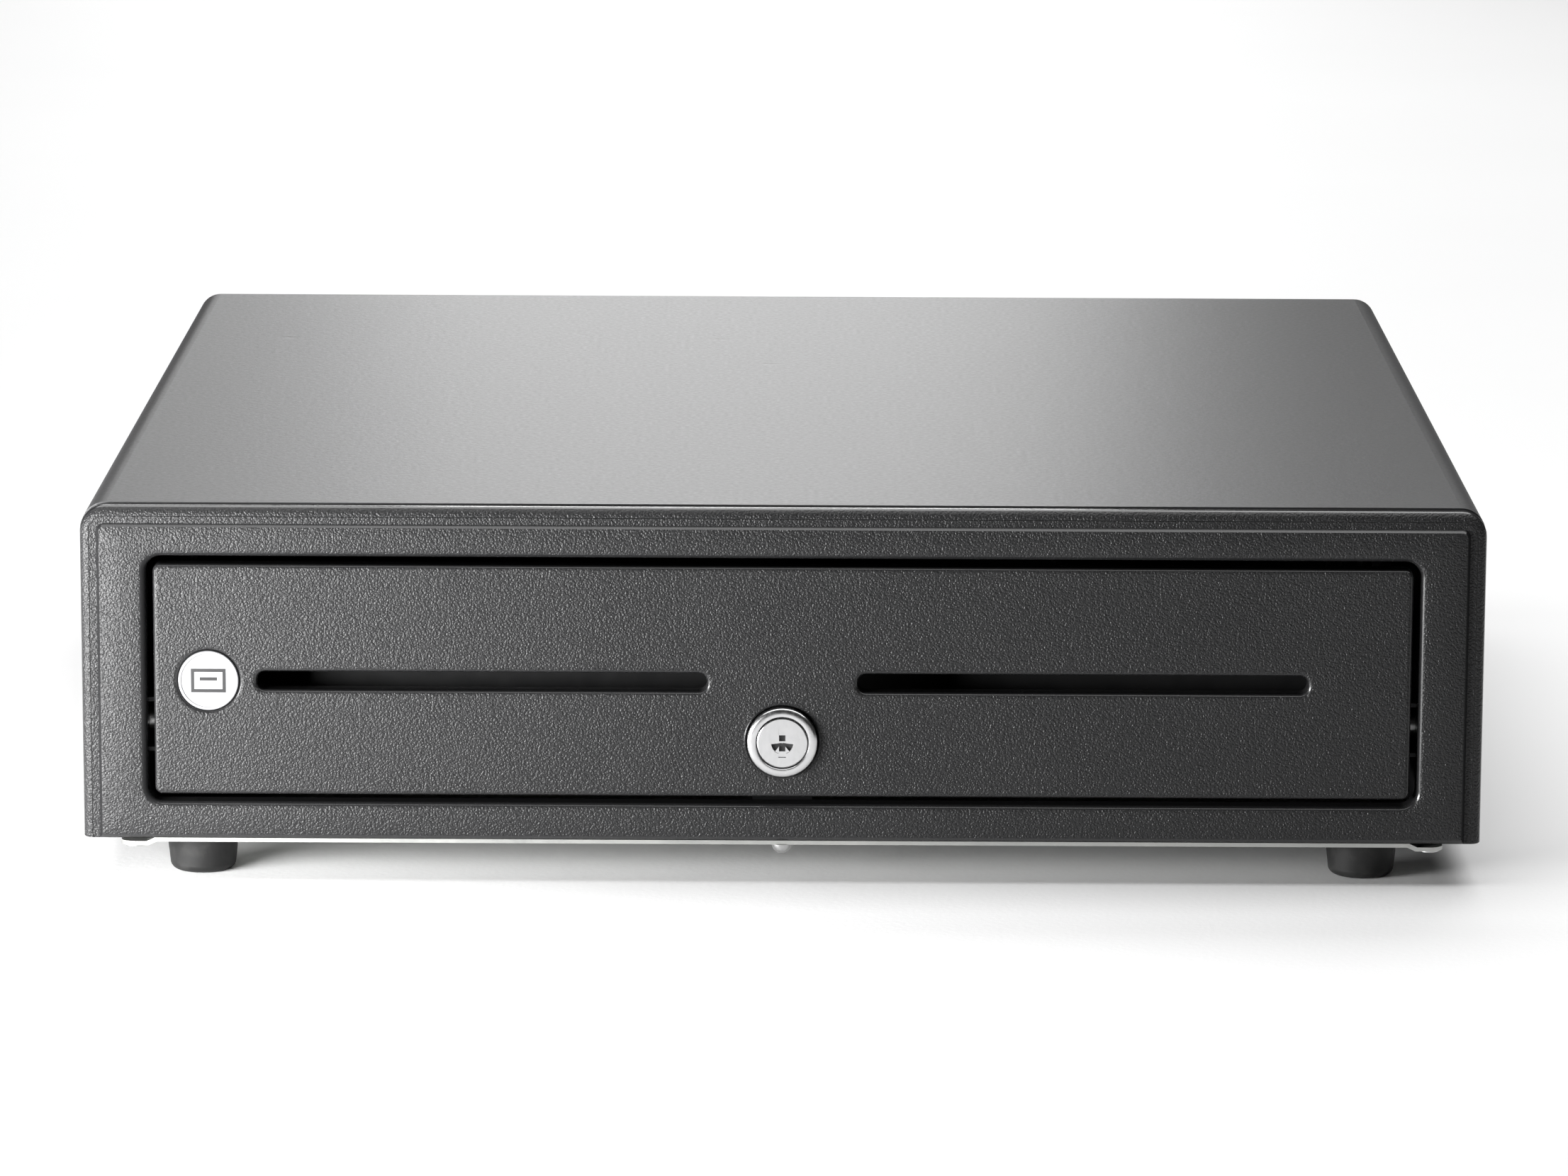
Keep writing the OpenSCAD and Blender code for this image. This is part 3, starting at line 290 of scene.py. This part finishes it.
def zinc_sheet():
    """Zinc-plated sheet: cloudy, rolled along Y."""
    s = Shader("zinc_sheet", (0.74, 0.74, 0.72), 0.3, 1)
    rolled = s.noise(0.0012, 3, at=s.stretch((1, 0.03, 1)))
    s.set("Base Color", s.mix(s.noise(0.02, 4), (0.38, 0.39, 0.38), (0.5, 0.5, 0.48)))
    s.set("Roughness", s.spread(s.sum(rolled, s.noise(0.01, 3)), 0.6, 1.4, 0.34, 0.5))
    s.set("Normal", s.bump(rolled, 0.00003, 0.6))
    return s.material


def plated_steel(name, color, roughness):
    """Small turned or stamped steel pieces with a plated finish."""
    s = Shader(name, color, roughness, 1)
    s.set("Base Color", s.mix(s.noise(0.004, 3), tuple(c * 0.88 for c in color), color))
    s.set("Roughness", s.spread(s.noise(0.0015, 3), 0.3, 0.7, roughness * 0.8, roughness * 1.3))
    s.set("Normal", s.bump(s.noise(0.0004, 2), 0.00002, 0.5))
    return s.material


def lock_chrome():
    """Bright chrome with fine scratches from the key."""
    s = Shader("lock_chrome", (0.62, 0.62, 0.62), 0.12, 1)
    scratches = s.noise(0.0008, 3, at=s.stretch((1, 1, 0.08)))
    s.set("Roughness", s.spread(s.sum(s.noise(0.003, 3), scratches), 0.6, 1.4, 0.16, 0.3))
    s.set("Base Color", s.mix(s.noise(0.002, 2), (0.55, 0.55, 0.56), (0.63, 0.63, 0.63)))
    s.set("Normal", s.bump(scratches, 0.00001, 0.5))
    return s.material


def moulded_plastic(name, color, roughness, tooth):
    """Injection moulding with a fine spark-eroded skin."""
    s = Shader(name, color, roughness)
    s.set("Specular IOR Level", 0.35)
    darker, lighter = (tuple(c * scale for c in color) for scale in (0.85, 1.15))
    s.set("Base Color", s.mix(s.noise(0.03, 3), darker, lighter))
    s.set("Roughness", s.spread(s.noise(0.006, 3), 0.3, 0.7, roughness * 0.85, roughness * 1.15))
    s.set("Normal", s.bump(s.noise(0.0004, 2), tooth, 0.7))
    return s.material


def foot_rubber():
    """Dull moulded rubber with a little dust."""
    s = Shader("foot_rubber", (0.02, 0.02, 0.02), 0.6)
    s.set("Specular IOR Level", 0.25)
    dust = s.spread(s.noise(0.004, 4), 0.5, 0.8)
    s.set("Base Color", s.mix(dust, (0.011, 0.011, 0.011), (0.022, 0.022, 0.021)))
    s.set("Roughness", s.spread(dust, 0, 1, 0.5, 0.72))
    s.set("Normal", s.bump(s.noise(0.0006, 2), 0.00003, 0.6))
    return s.material


def coil_tape():
    """Amber tape wound over copper wire, with its edges showing as rings along X."""
    s = Shader("coil_tape", (0.45, 0.22, 0.07), 0.35)
    turns = s.tree.nodes.new("ShaderNodeTexWave")
    s.feed(turns.inputs["Vector"], s.place)
    turns.inputs["Scale"].default_value = 180
    turns.inputs["Distortion"].default_value = 1.5
    s.set("Base Color", s.mix(turns.outputs["Fac"], (0.36, 0.15, 0.04), (0.6, 0.33, 0.12)))
    s.set("Normal", s.bump(turns.outputs["Fac"], 0.00005))
    return s.material


def badge_metal():
    """Satin silver foil, brushed across."""
    s = Shader("badge_metal", (0.31, 0.31, 0.32), 0.45, 0.6)
    brushed = s.noise(0.0004, 3, at=s.stretch((0.05, 1, 1)))
    s.set("Roughness", s.spread(brushed, 0.3, 0.7, 0.36, 0.5))
    s.set("Normal", s.bump(brushed, 0.00001, 0.5))
    return s.material


def nylon():
    """Dyed nylon, its roughness and tone varying at random."""
    s = Shader("nylon", (0.02, 0.02, 0.02), 0.38)
    s.set("Roughness", s.spread(s.noise(0.002, 3), 0.3, 0.7, 0.3, 0.45))
    s.set("Base Color", s.mix(s.noise(0.003, 3), (0.014, 0.014, 0.014), (0.024, 0.024, 0.023)))
    s.set("Normal", s.bump(s.noise(0.0005), 0.00002, 0.6))
    return s.material


WELD_MARKS = ((-0.170, 0.112), (-0.023, 0.112), (0.120, 0.112), (-0.005, 0.060))
BLACK = (0.016, 0.016, 0.0165)
STEEL = (0.5, 0.5, 0.5)
FINISHES = {
    "cover_paint": powder_coat("cover_paint", (0.045, 0.045, 0.046), 0.5, WELD_MARKS),
    "box_paint": powder_coat("box_paint", (0.03, 0.03, 0.031), 0.2),
    "grained_plastic": grained_plastic(),
    "zinc_sheet": zinc_sheet(),
    "plated_steel": plated_steel("plated_steel", STEEL, 0.34),
    "spring_wire": plated_steel("spring_wire", STEEL, 0.32),
    "black_screws": plated_steel("black_screws", (0.05, 0.05, 0.05), 0.4),
    "coil_tape": coil_tape(),
    "black_plastic": moulded_plastic("black_plastic", BLACK, 0.45, 0.00004),
    "contact_gold": plated_steel("contact_gold", (0.85, 0.62, 0.26), 0.2),
    "lead_jacket": moulded_plastic("lead_jacket", BLACK, 0.38, 0.00001),
    "foot_rubber": foot_rubber(),
    "badge_metal": badge_metal(),
    "lock_chrome": lock_chrome(),
    "nylon": nylon(),
}


# ---------------------------------------------------------------- mesh making

def place_piece(name, mesh, slot, body, *nodes):
    """Shows a mesh with a finish, riding on a body and standing for CAD nodes."""
    mesh.materials.clear()
    mesh.materials.append(FINISHES[slot])
    piece = show(bpy.data.objects.new(name, mesh))
    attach(piece, body)
    if nodes:
        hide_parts(*nodes)
    return piece


def new_piece(name, vertices, faces, slot, body, *nodes, smooth=True):
    """Piece made from vertices and faces."""
    mesh = bpy.data.meshes.new(name)
    mesh.from_pydata([tuple(v) for v in vertices], [], faces)
    mesh.polygons.foreach_set("use_smooth", [smooth] * len(mesh.polygons))
    return place_piece(name, mesh, slot, body, *nodes)


def keep_creases(piece, angle=35):
    """Edges sharper than the angle stay sharp in the shading."""
    mesh = piece.data
    bm = bmesh.new()
    bm.from_mesh(mesh)
    for edge in bm.edges:
        if len(edge.link_faces) == 2 and edge.calc_face_angle(0) > math.radians(angle):
            edge.smooth = False
    bmesh.ops.recalc_face_normals(bm, faces=bm.faces)
    bm.to_mesh(mesh)
    bm.free()
    return piece


def arc(center, radius, start, end, steps):
    """Points along an arc, angles in degrees."""
    angles = [math.radians(start + (end - start) * i / steps) for i in range(steps + 1)]
    return [(center[0] + radius * math.cos(a), center[1] + radius * math.sin(a)) for a in angles]


def rounded_outline(half, low, high, upper_r, lower_r, middle=0.0, steps=8):
    """Upright rectangle with round corners, as (x, z) points, anticlockwise from the lower right."""
    corners = (
        (half - lower_r, low + lower_r, lower_r, -90),
        (half - upper_r, high - upper_r, upper_r, 0),
        (upper_r - half, high - upper_r, upper_r, 90),
        (lower_r - half, low + lower_r, lower_r, 180),
    )
    points = []
    for x, z, r, start in corners:
        points += arc((x + middle, z), r, start, start + 90, steps)
    return points


def joined_rings(rings, closed=False):
    """Vertices and quads of a skin through rings that have equally many points."""
    count = len(rings[0])
    vertices = [p for ring in rings for p in ring]
    faces = []
    pairs = len(rings) if closed else len(rings) - 1
    for i in range(pairs):
        a, b = i * count, (i + 1) % len(rings) * count
        faces += [(a + j, a + (j + 1) % count, b + (j + 1) % count, b + j) for j in range(count)]
    return vertices, faces


def turned(profile, at, segments=96):
    """Rings of a body turned about a Y axis: profile is (radius, y) points."""
    rings = []
    for radius, y in profile:
        angles = [2 * math.pi * i / segments for i in range(segments)]
        rings.append([(at.x + radius * math.cos(a), y, at.z + radius * math.sin(a)) for a in angles])
    return rings


def mark(piece, name, holds):
    """Stores a 0 or 1 on each face, for the moulding's shader: is it grained, or does it get painted
    shade.
    """
    layer = piece.data.attributes.new(name, "FLOAT", "FACE")
    layer.data.foreach_set("value", [1.0 if holds(face) else 0.0 for face in piece.data.polygons])


def cut(piece, cutter):
    """Takes the cutter's shape out of the piece and drops the cutter."""
    tool = piece.modifiers.new("cut", "BOOLEAN")
    tool.object = cutter
    tool.solver = "EXACT"
    bpy.context.view_layer.update()
    depsgraph = bpy.context.evaluated_depsgraph_get()
    result = bpy.data.meshes.new_from_object(piece.evaluated_get(depsgraph))
    piece.modifiers.clear()
    piece.data = result
    bpy.data.objects.remove(cutter)


def loose_block(low, high):
    """Plain block used only as a cutter."""
    mesh = bpy.data.meshes.new("cutter")
    bm = bmesh.new()
    bmesh.ops.create_cube(bm, size=1)
    size, middle = Vector(high) - Vector(low), (Vector(high) + Vector(low)) / 2
    placing = Matrix.Translation(middle) @ Matrix.Diagonal((*size, 1))
    bmesh.ops.transform(bm, matrix=placing, verts=bm.verts)
    bm.to_mesh(mesh)
    bm.free()
    return show(bpy.data.objects.new("cutter", mesh))


def loose_disc(at, radius, y0, y1, start=0, end=360, steps=48):
    """Round or part-round block along Y, used only as a cutter."""
    rim = arc((at.x, at.z), radius, start, end, steps)
    if end - start < 360:
        rim.append((at.x, at.z))
    else:
        rim.pop()
    vertices, faces = joined_rings([[(x, y, z) for x, z in rim] for y in (y0, y1)])
    count = len(rim)
    faces += [tuple(range(count - 1, -1, -1)), tuple(range(count, 2 * count))]
    mesh = bpy.data.meshes.new("cutter")
    mesh.from_pydata(vertices, [], faces)
    bm = bmesh.new()
    bm.from_mesh(mesh)
    bmesh.ops.recalc_face_normals(bm, faces=bm.faces)
    bm.to_mesh(mesh)
    bm.free()
    return show(bpy.data.objects.new("cutter", mesh))


# ---------------------------------------------------------------- the front

BEZEL_HALF = BEZEL_HIGH.x
BEZEL_BACK = FACE_Y + 7.5 * MM
TOP_R = 7.5 * MM
EDGE_R = 2.7 * MM
LEDGE_Y = FACE_Y + 1.4 * MM
CREASE = 0.3 * MM
STEP_TOP_Y = LEDGE_Y - 1.3 * MM
SEAM_DROP = 0.35 * MM
SIDE_GAP, LEVEL_GAP = 2.2 * MM, 2.4 * MM
OPENING_HALF = FRONT_HIGH.x + SIDE_GAP
OPENING_LOW = FRONT_LOW.z - LEVEL_GAP
OPENING_HIGH = FRONT_HIGH.z + LEVEL_GAP
OPENING_R = 4.75 * MM
OPENING_EDGE = 2.1 * MM


def bezel():
    """Moulded frame: rounded edge, crease, ledge, step, raised face, rounded opening."""
    rings, grained = [], []

    def ring(y, inset, rise=0.0, grain=False):
        """Outline at depth y, this far inside the cover's, with its foot raised."""
        low, high = BEZEL_LOW.z + rise, BEZEL_HIGH.z - SEAM_DROP - inset
        radius = max(TOP_R - inset, 1.2 * MM)
        outline = rounded_outline(BEZEL_HALF - inset, low, high, radius, 0.4 * MM)
        rings.append([(x, y, z) for x, z in outline])
        grained.append(grain)

    def opening_ring(y, inset, grain=False):
        """Outline at depth y, this far outside the opening's."""
        outline = rounded_outline(OPENING_HALF + inset, OPENING_LOW - inset, OPENING_HIGH + inset,
                                  OPENING_R + inset, OPENING_R + inset)
        rings.append([(x, y, z) for x, z in outline])
        grained.append(grain)

    # From the back rim forward: round edge, crease, ledge, step and raised face.
    ring(BEZEL_BACK, 0.4 * MM)
    ring(BEZEL_BACK - 0.1 * MM, 0.1 * MM)
    ring(BEZEL_BACK - 0.4 * MM, 0)
    for angle in range(180, 271, 10):
        turn = math.radians(angle)
        depth, inset = EDGE_R * (1 + math.sin(turn)), EDGE_R * (1 + math.cos(turn))
        ring(LEDGE_Y - 0.1 * MM + depth, inset, grain=angle > 200)
    ring(LEDGE_Y + CREASE, EDGE_R + 0.08 * MM)
    ring(LEDGE_Y + CREASE, EDGE_R + 0.2 * MM)
    ring(LEDGE_Y, EDGE_R + 0.28 * MM, grain=True)
    ring(LEDGE_Y, EDGE_R + 2.3 * MM)
    ring(LEDGE_Y - 1.1 * MM, EDGE_R + 3.0 * MM, 0.9 * MM)
    ring(STEP_TOP_Y, EDGE_R + 3.2 * MM, 1.3 * MM, grain=True)
    ring(FACE_Y, EDGE_R + 3.6 * MM, 1.7 * MM, grain=True)
    # Then round into the opening, and back through it.
    round_edge = arc((OPENING_EDGE, FACE_Y + OPENING_EDGE), OPENING_EDGE, 270, 180, 6)
    for i, (inset, y) in enumerate(round_edge):
        opening_ring(y, inset, grain=i < 2)
    opening_ring(BEZEL_BACK, 0)

    def is_painted_shade(face):
        """The step's flanks up the sides, and the opening's edges that face right or down: the faces
        that get painted shade.
        """
        middle, normal = face.center, face.normal
        if abs(middle.x) < OPENING_HALF + OPENING_EDGE and middle.z < OPENING_HIGH + OPENING_EDGE:
            return middle.z > OPENING_LOW - OPENING_EDGE and (normal.x > 0.2 or normal.z < -0.55)
        return STEP_TOP_Y < middle.y < LEDGE_Y and 0.5 < abs(normal.x) < 0.95

    vertices, faces = joined_rings(rings, closed=True)
    piece = new_piece("bezel_moulding", vertices, faces, "grained_plastic", "housing", "front_bezel")
    keep_creases(piece, 30)
    per_ring = len(rings[0])
    # Painted shade on the faces picked by which way they face.
    mark(piece, "painted_shade", is_painted_shade)
    mark(piece, "grain", lambda face: grained[face.index // per_ring] and not is_painted_shade(face))
    return piece


def flat_moulding(name, outlines, y0, y1, edge, body, *nodes):
    """Plate with rounded edges round its rim and its holes, filled from closed (x, z) outlines."""
    curve = bpy.data.curves.new(name, "CURVE")
    curve.dimensions = "2D"
    curve.fill_mode = "BOTH"
    curve.extrude = (y1 - y0) / 2 - edge
    curve.bevel_depth = edge
    curve.bevel_resolution = 5
    for outline in outlines:
        spline = curve.splines.new("POLY")
        spline.points.add(len(outline) - 1)
        for point, (x, z) in zip(spline.points, outline):
            point.co = (x, z, 0, 1)
        spline.use_cyclic_u = True
    loose = show(bpy.data.objects.new(name, curve))
    bpy.context.view_layer.update()
    depsgraph = bpy.context.evaluated_depsgraph_get()
    mesh = bpy.data.meshes.new_from_object(loose.evaluated_get(depsgraph))
    bpy.data.objects.remove(loose)
    upright = Matrix.Translation((0, (y0 + y1) / 2, 0)) @ Matrix.Rotation(math.pi / 2, 4, "X")
    mesh.transform(upright)
    bm = bmesh.new()
    bm.from_mesh(mesh)
    bmesh.ops.remove_doubles(bm, verts=bm.verts, dist=1e-6)
    bmesh.ops.recalc_face_normals(bm, faces=bm.faces)
    for face in bm.faces:
        face.smooth = abs(face.normal.y) < 0.9999
    bm.to_mesh(mesh)
    bm.free()
    return place_piece(name, mesh, "grained_plastic", body, *nodes)


def circle_outline(at, radius, steps=64):
    """Circle as (x, z) points."""
    return arc((at.x, at.z), radius, 0, 360, steps)[:-1]


def drawer_front():
    """Moulded front with two media slots, the lock's well and the badge's well."""
    edge, corner = 1.5 * MM, 2.3 * MM
    slot_x, slot_half, slot_rise, slot_r = 89.5 * MM, 67 * MM, 2.8 * MM, 2.4 * MM
    lock_well, badge_well = 11.3 * MM, 9.1 * MM
    rim = rounded_outline(FRONT_HIGH.x - edge, FRONT_LOW.z + edge, FRONT_HIGH.z - edge,
                          corner - edge, corner - edge)
    outlines = [rim]
    for x in (-slot_x, slot_x):
        outlines.append(rounded_outline(slot_half + edge, BADGE_AT.z - slot_rise - edge,
                                        BADGE_AT.z + slot_rise + edge, slot_r + edge, slot_r + edge, x))
    outlines.append(circle_outline(LOCK_AT, lock_well + edge * 0.6))
    outlines.append(circle_outline(BADGE_AT, badge_well + edge))
    piece = flat_moulding("drawer_front_moulding", outlines, FRONT_LOW.y, FRONT_HIGH.y, edge,
                          "drawer", "drawer_front")
    mark(piece, "grain", lambda face: face.normal.y < -0.85)
    return piece


# ---------------------------------------------------------------- lock and badge

def turned_piece(name, profile, at, front, slot, body, *nodes):
    """Solid turned about Y from (radius, depth) points in millimetres; ends on the axis are closed."""
    rings = turned([(radius * MM, front + depth * MM) for radius, depth in profile], at)
    closed = profile[0] == profile[-1]
    vertices, faces = joined_rings(rings[:-1] if closed else rings, closed)
    if not closed:
        count = len(rings[0])
        faces.append(tuple(range(count)))
        faces.append(tuple(range(len(vertices) - count, len(vertices))))
    return keep_creases(new_piece(name, vertices, faces, slot, body, *nodes), 30)


# Half sections as (radius, depth behind the face) in millimetres.
HEAD_SHAPE = ((7.9, 2.0), (7.9, 0.3), (8.05, 0.1), (8.3, 0.05), (9.5, 0.05), (10.0, 0.25), (10.4, 0.7),
              (10.5, 1.2), (10.5, 4.5), (9.0, 4.5), (9.0, 22.0), (6.55, 22.0), (6.55, 2.0), (7.9, 2.0))
PLUG_SHAPE = ((0.3, 0.3), (7.25, 0.3), (7.5, 0.45), (7.55, 0.7), (7.55, 1.7), (6.5, 1.7), (6.5, 22.0),
              (4.0, 22.0), (4.0, 26.0), (0.3, 26.0))
# The black disc under the key slot and windows, and the black ring under the plug's gap, are painted
# shade.
SLOT_SHADE_DISC_SHAPE = ((0.3, 1.4), (5.0, 1.4), (5.0, 2.6), (0.3, 2.6))
GAP_SHADE_RING_SHAPE = ((6.6, 1.75), (7.85, 1.75), (7.85, 1.95), (6.6, 1.95), (6.6, 1.75))
BADGE_SHAPE = ((0.3, 0.25), (8.0, 0.25), (8.2, 0.05), (8.4, 0.0), (8.8, 0.05), (9.0, 0.3),
               (9.0, 1.2), (0.3, 1.2))
# Cuts in the plug's face: half width, lowest and highest z from the axis, and depth, in millimetres.
KEY_CUTS = ((1.15, -4.4, 4.4, 0.8), (0.95, 0.5, 2.3, 1.6), (0.95, -2.6, -0.2, 1.6))
# The sign's bars: left, right, foot and top from the badge's middle, in millimetres.
SIGN_BARS = ((-5.2, 5.2, 2.6, 3.6), (-5.2, 5.2, -3.6, -2.6), (-5.2, -4.2, -2.6, 2.6),
             (4.2, 5.2, -2.6, 2.6), (-2.6, 2.6, 0.0, 1.0))
BOX_FACES = ((0, 1, 2, 3), (7, 6, 5, 4), (0, 4, 5, 1), (1, 5, 6, 2), (2, 6, 7, 3), (3, 7, 4, 0))


def lock():
    """Chrome head, and a plug with a dished middle, a key slot and two windows, with painted shade: a
    black disc at the bottom of the slot and windows, a black ring in the plug's gap.
    """
    front = LOCK_LOW.y
    dish_r, dish_depth = 3.4 * MM, 0.55 * MM
    window_r, window_depth, window_turn = 3.3 * MM, 1.6 * MM, 44
    turned_piece("lock_head", HEAD_SHAPE, LOCK_AT, front, "lock_chrome", "drawer", "lock_barrel")
    plug = turned_piece("lock_core_turned", PLUG_SHAPE, LOCK_AT, front, "lock_chrome",
                        "lock_core", "lock_plug")
    cut(plug, loose_disc(LOCK_AT, dish_r, front - MM, front + dish_depth))
    for half_x, z0, z1, depth in KEY_CUTS:
        cut(plug, loose_block((-half_x * MM, front - MM, LOCK_AT.z + z0 * MM),
                              (half_x * MM, front + depth * MM, LOCK_AT.z + z1 * MM)))
    for start in (186, 310):
        cut(plug, loose_disc(LOCK_AT, window_r, front - MM, front + window_depth,
                             start, start + window_turn))
    plug.data.materials.clear()
    plug.data.materials.append(FINISHES["lock_chrome"])
    keep_creases(plug, 30)
    # A black disc behind the key slot and windows, painting the shade at their bottoms.
    turned_piece("lock_slot_shade_disc", SLOT_SHADE_DISC_SHAPE, LOCK_AT, front, "black_plastic", "lock_core")
    # A black ring at the foot of the gap round the plug, painting the shade in that gap.
    turned_piece("lock_gap_shade_ring", GAP_SHADE_RING_SHAPE, LOCK_AT, front, "black_plastic", "drawer")


def badge():
    """Round foil badge with a raised rim, and a plain sign of a drawer on it."""
    front = BADGE_LOW.y
    turned_piece("badge_disc", BADGE_SHAPE, BADGE_AT, front, "badge_metal", "drawer", "badge")
    vertices, faces = [], []
    for x0, x1, z0, z1 in SIGN_BARS:
        first = len(vertices)
        for y in (front + 0.2 * MM, front + 0.5 * MM):
            vertices += [(BADGE_AT.x + x * MM, y, BADGE_AT.z + z * MM)
                         for x, z in ((x0, z0), (x1, z0), (x1, z1), (x0, z1))]
        faces += [tuple(first + corner for corner in face) for face in BOX_FACES]
    new_piece("badge_sign", vertices, faces, "black_plastic", "drawer", smooth=False)


# ---------------------------------------------------------------- springs

def helix_tube(name, body, node, *, start, along, across, coil_r, wire_r, length, turns):
    """Round wire wound from start along an axis; across is where the first turn begins."""
    along, across = Vector(along).normalized(), Vector(across).normalized()
    third = along.cross(across)
    steps_per_turn, sides = 28, 10
    steps = int(turns * steps_per_turn)
    rings = []
    for i in range(steps + 1):
        t = i / steps
        angle = 2 * math.pi * turns * t
        out = across * math.cos(angle) + third * math.sin(angle)
        middle = Vector(start) + along * (wire_r + (length - 2 * wire_r) * t) + out * (coil_r - wire_r)
        rings.append([tuple(middle + wire_r * (out * math.cos(a) + along * math.sin(a)))
                      for a in (2 * math.pi * k / sides for k in range(sides))])
    vertices, faces = joined_rings(rings)
    faces.append(tuple(range(sides)))
    faces.append(tuple(range(len(vertices) - sides, len(vertices))))
    return new_piece(name, vertices, faces, "spring_wire", body, node)


def clip_springs():
    """One torsion spring on the rod beside each note clip's hub."""
    rod_low, rod_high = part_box("clip_rod")
    rod = (rod_low + rod_high) / 2
    names = sorted(name for name in frame["nodes"] if name.startswith("bill_clip_"))
    for i, name in enumerate(names):
        low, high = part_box(name)
        start = Vector(((low.x + high.x) / 2 + 14 * MM, rod.y, rod.z))
        helix_tube(f"clip_spring_wire_{i + 1}", "drawer", "clip_springs", start=start, along=(1, 0, 0),
                   across=(0, 0, -1), coil_r=4.4 * MM, wire_r=0.6 * MM, length=9 * MM, turns=6)


def springs():
    """Bare wire in place of the plain spring solids."""
    low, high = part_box("kick_spring")
    middle = (low + high) / 2
    helix_tube("kick_spring_wire", "housing", "kick_spring", start=(middle.x, low.y, middle.z),
               along=(0, 1, 0), across=(1, 0, 0), coil_r=(high.x - low.x) / 2, wire_r=0.5 * MM,
               length=high.y - low.y, turns=14)
    clip_springs()
    low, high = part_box("latch_spring")
    middle = (low + high) / 2
    helix_tube("latch_spring_wire", "latch", "latch_spring", start=(middle.x, middle.y, low.z),
               along=(0, 0, 1), across=(1, 0, 0), coil_r=(high.x - low.x) / 2, wire_r=0.6 * MM,
               length=high.z - low.z, turns=6)


# Bevel widths in millimetres, for the CAD nodes whose edges catch the light.
SOFT_EDGES = {
    "cover": 0.12, "base_pan": 0.2, "rear_panel": 0.2, "drawer_sides": 0.2, "drawer_ends": 0.2,
    "drawer_port": 0.2, "solenoid_frame": 0.2, "coin_tray": 0.3, "latch_bracket": 0.3,
    "striker": 0.3, "switch_body": 0.3, "drawer_rail_left": 0.3, "drawer_rail_right": 0.3,
    "lock_nut": 0.3, "lock_cam": 0.3, "bill_dividers": 0.4, "till_tray": 0.6,
}


def finish_cad_nodes():
    """Gives every CAD node that still shows its material, and rounds the larger ones' edges."""
    for row in frame["record"]["subparts"]:
        node = frame["nodes"][row["node"]]
        node.data.materials.clear()
        node.data.materials.append(FINISHES[row["material_slot"]])
        if row["node"] in SOFT_EDGES:
            bevel = node.modifiers.new("soft_edges", "BEVEL")
            bevel.width = SOFT_EDGES[row["node"]] * MM
            bevel.segments = 2
            bevel.limit_method = "ANGLE"
            bevel.angle_limit = math.radians(50)
            bevel.harden_normals = True


add_camera()
add_studio()
bezel()
drawer_front()
lock()
badge()
springs()
finish_cad_nodes()
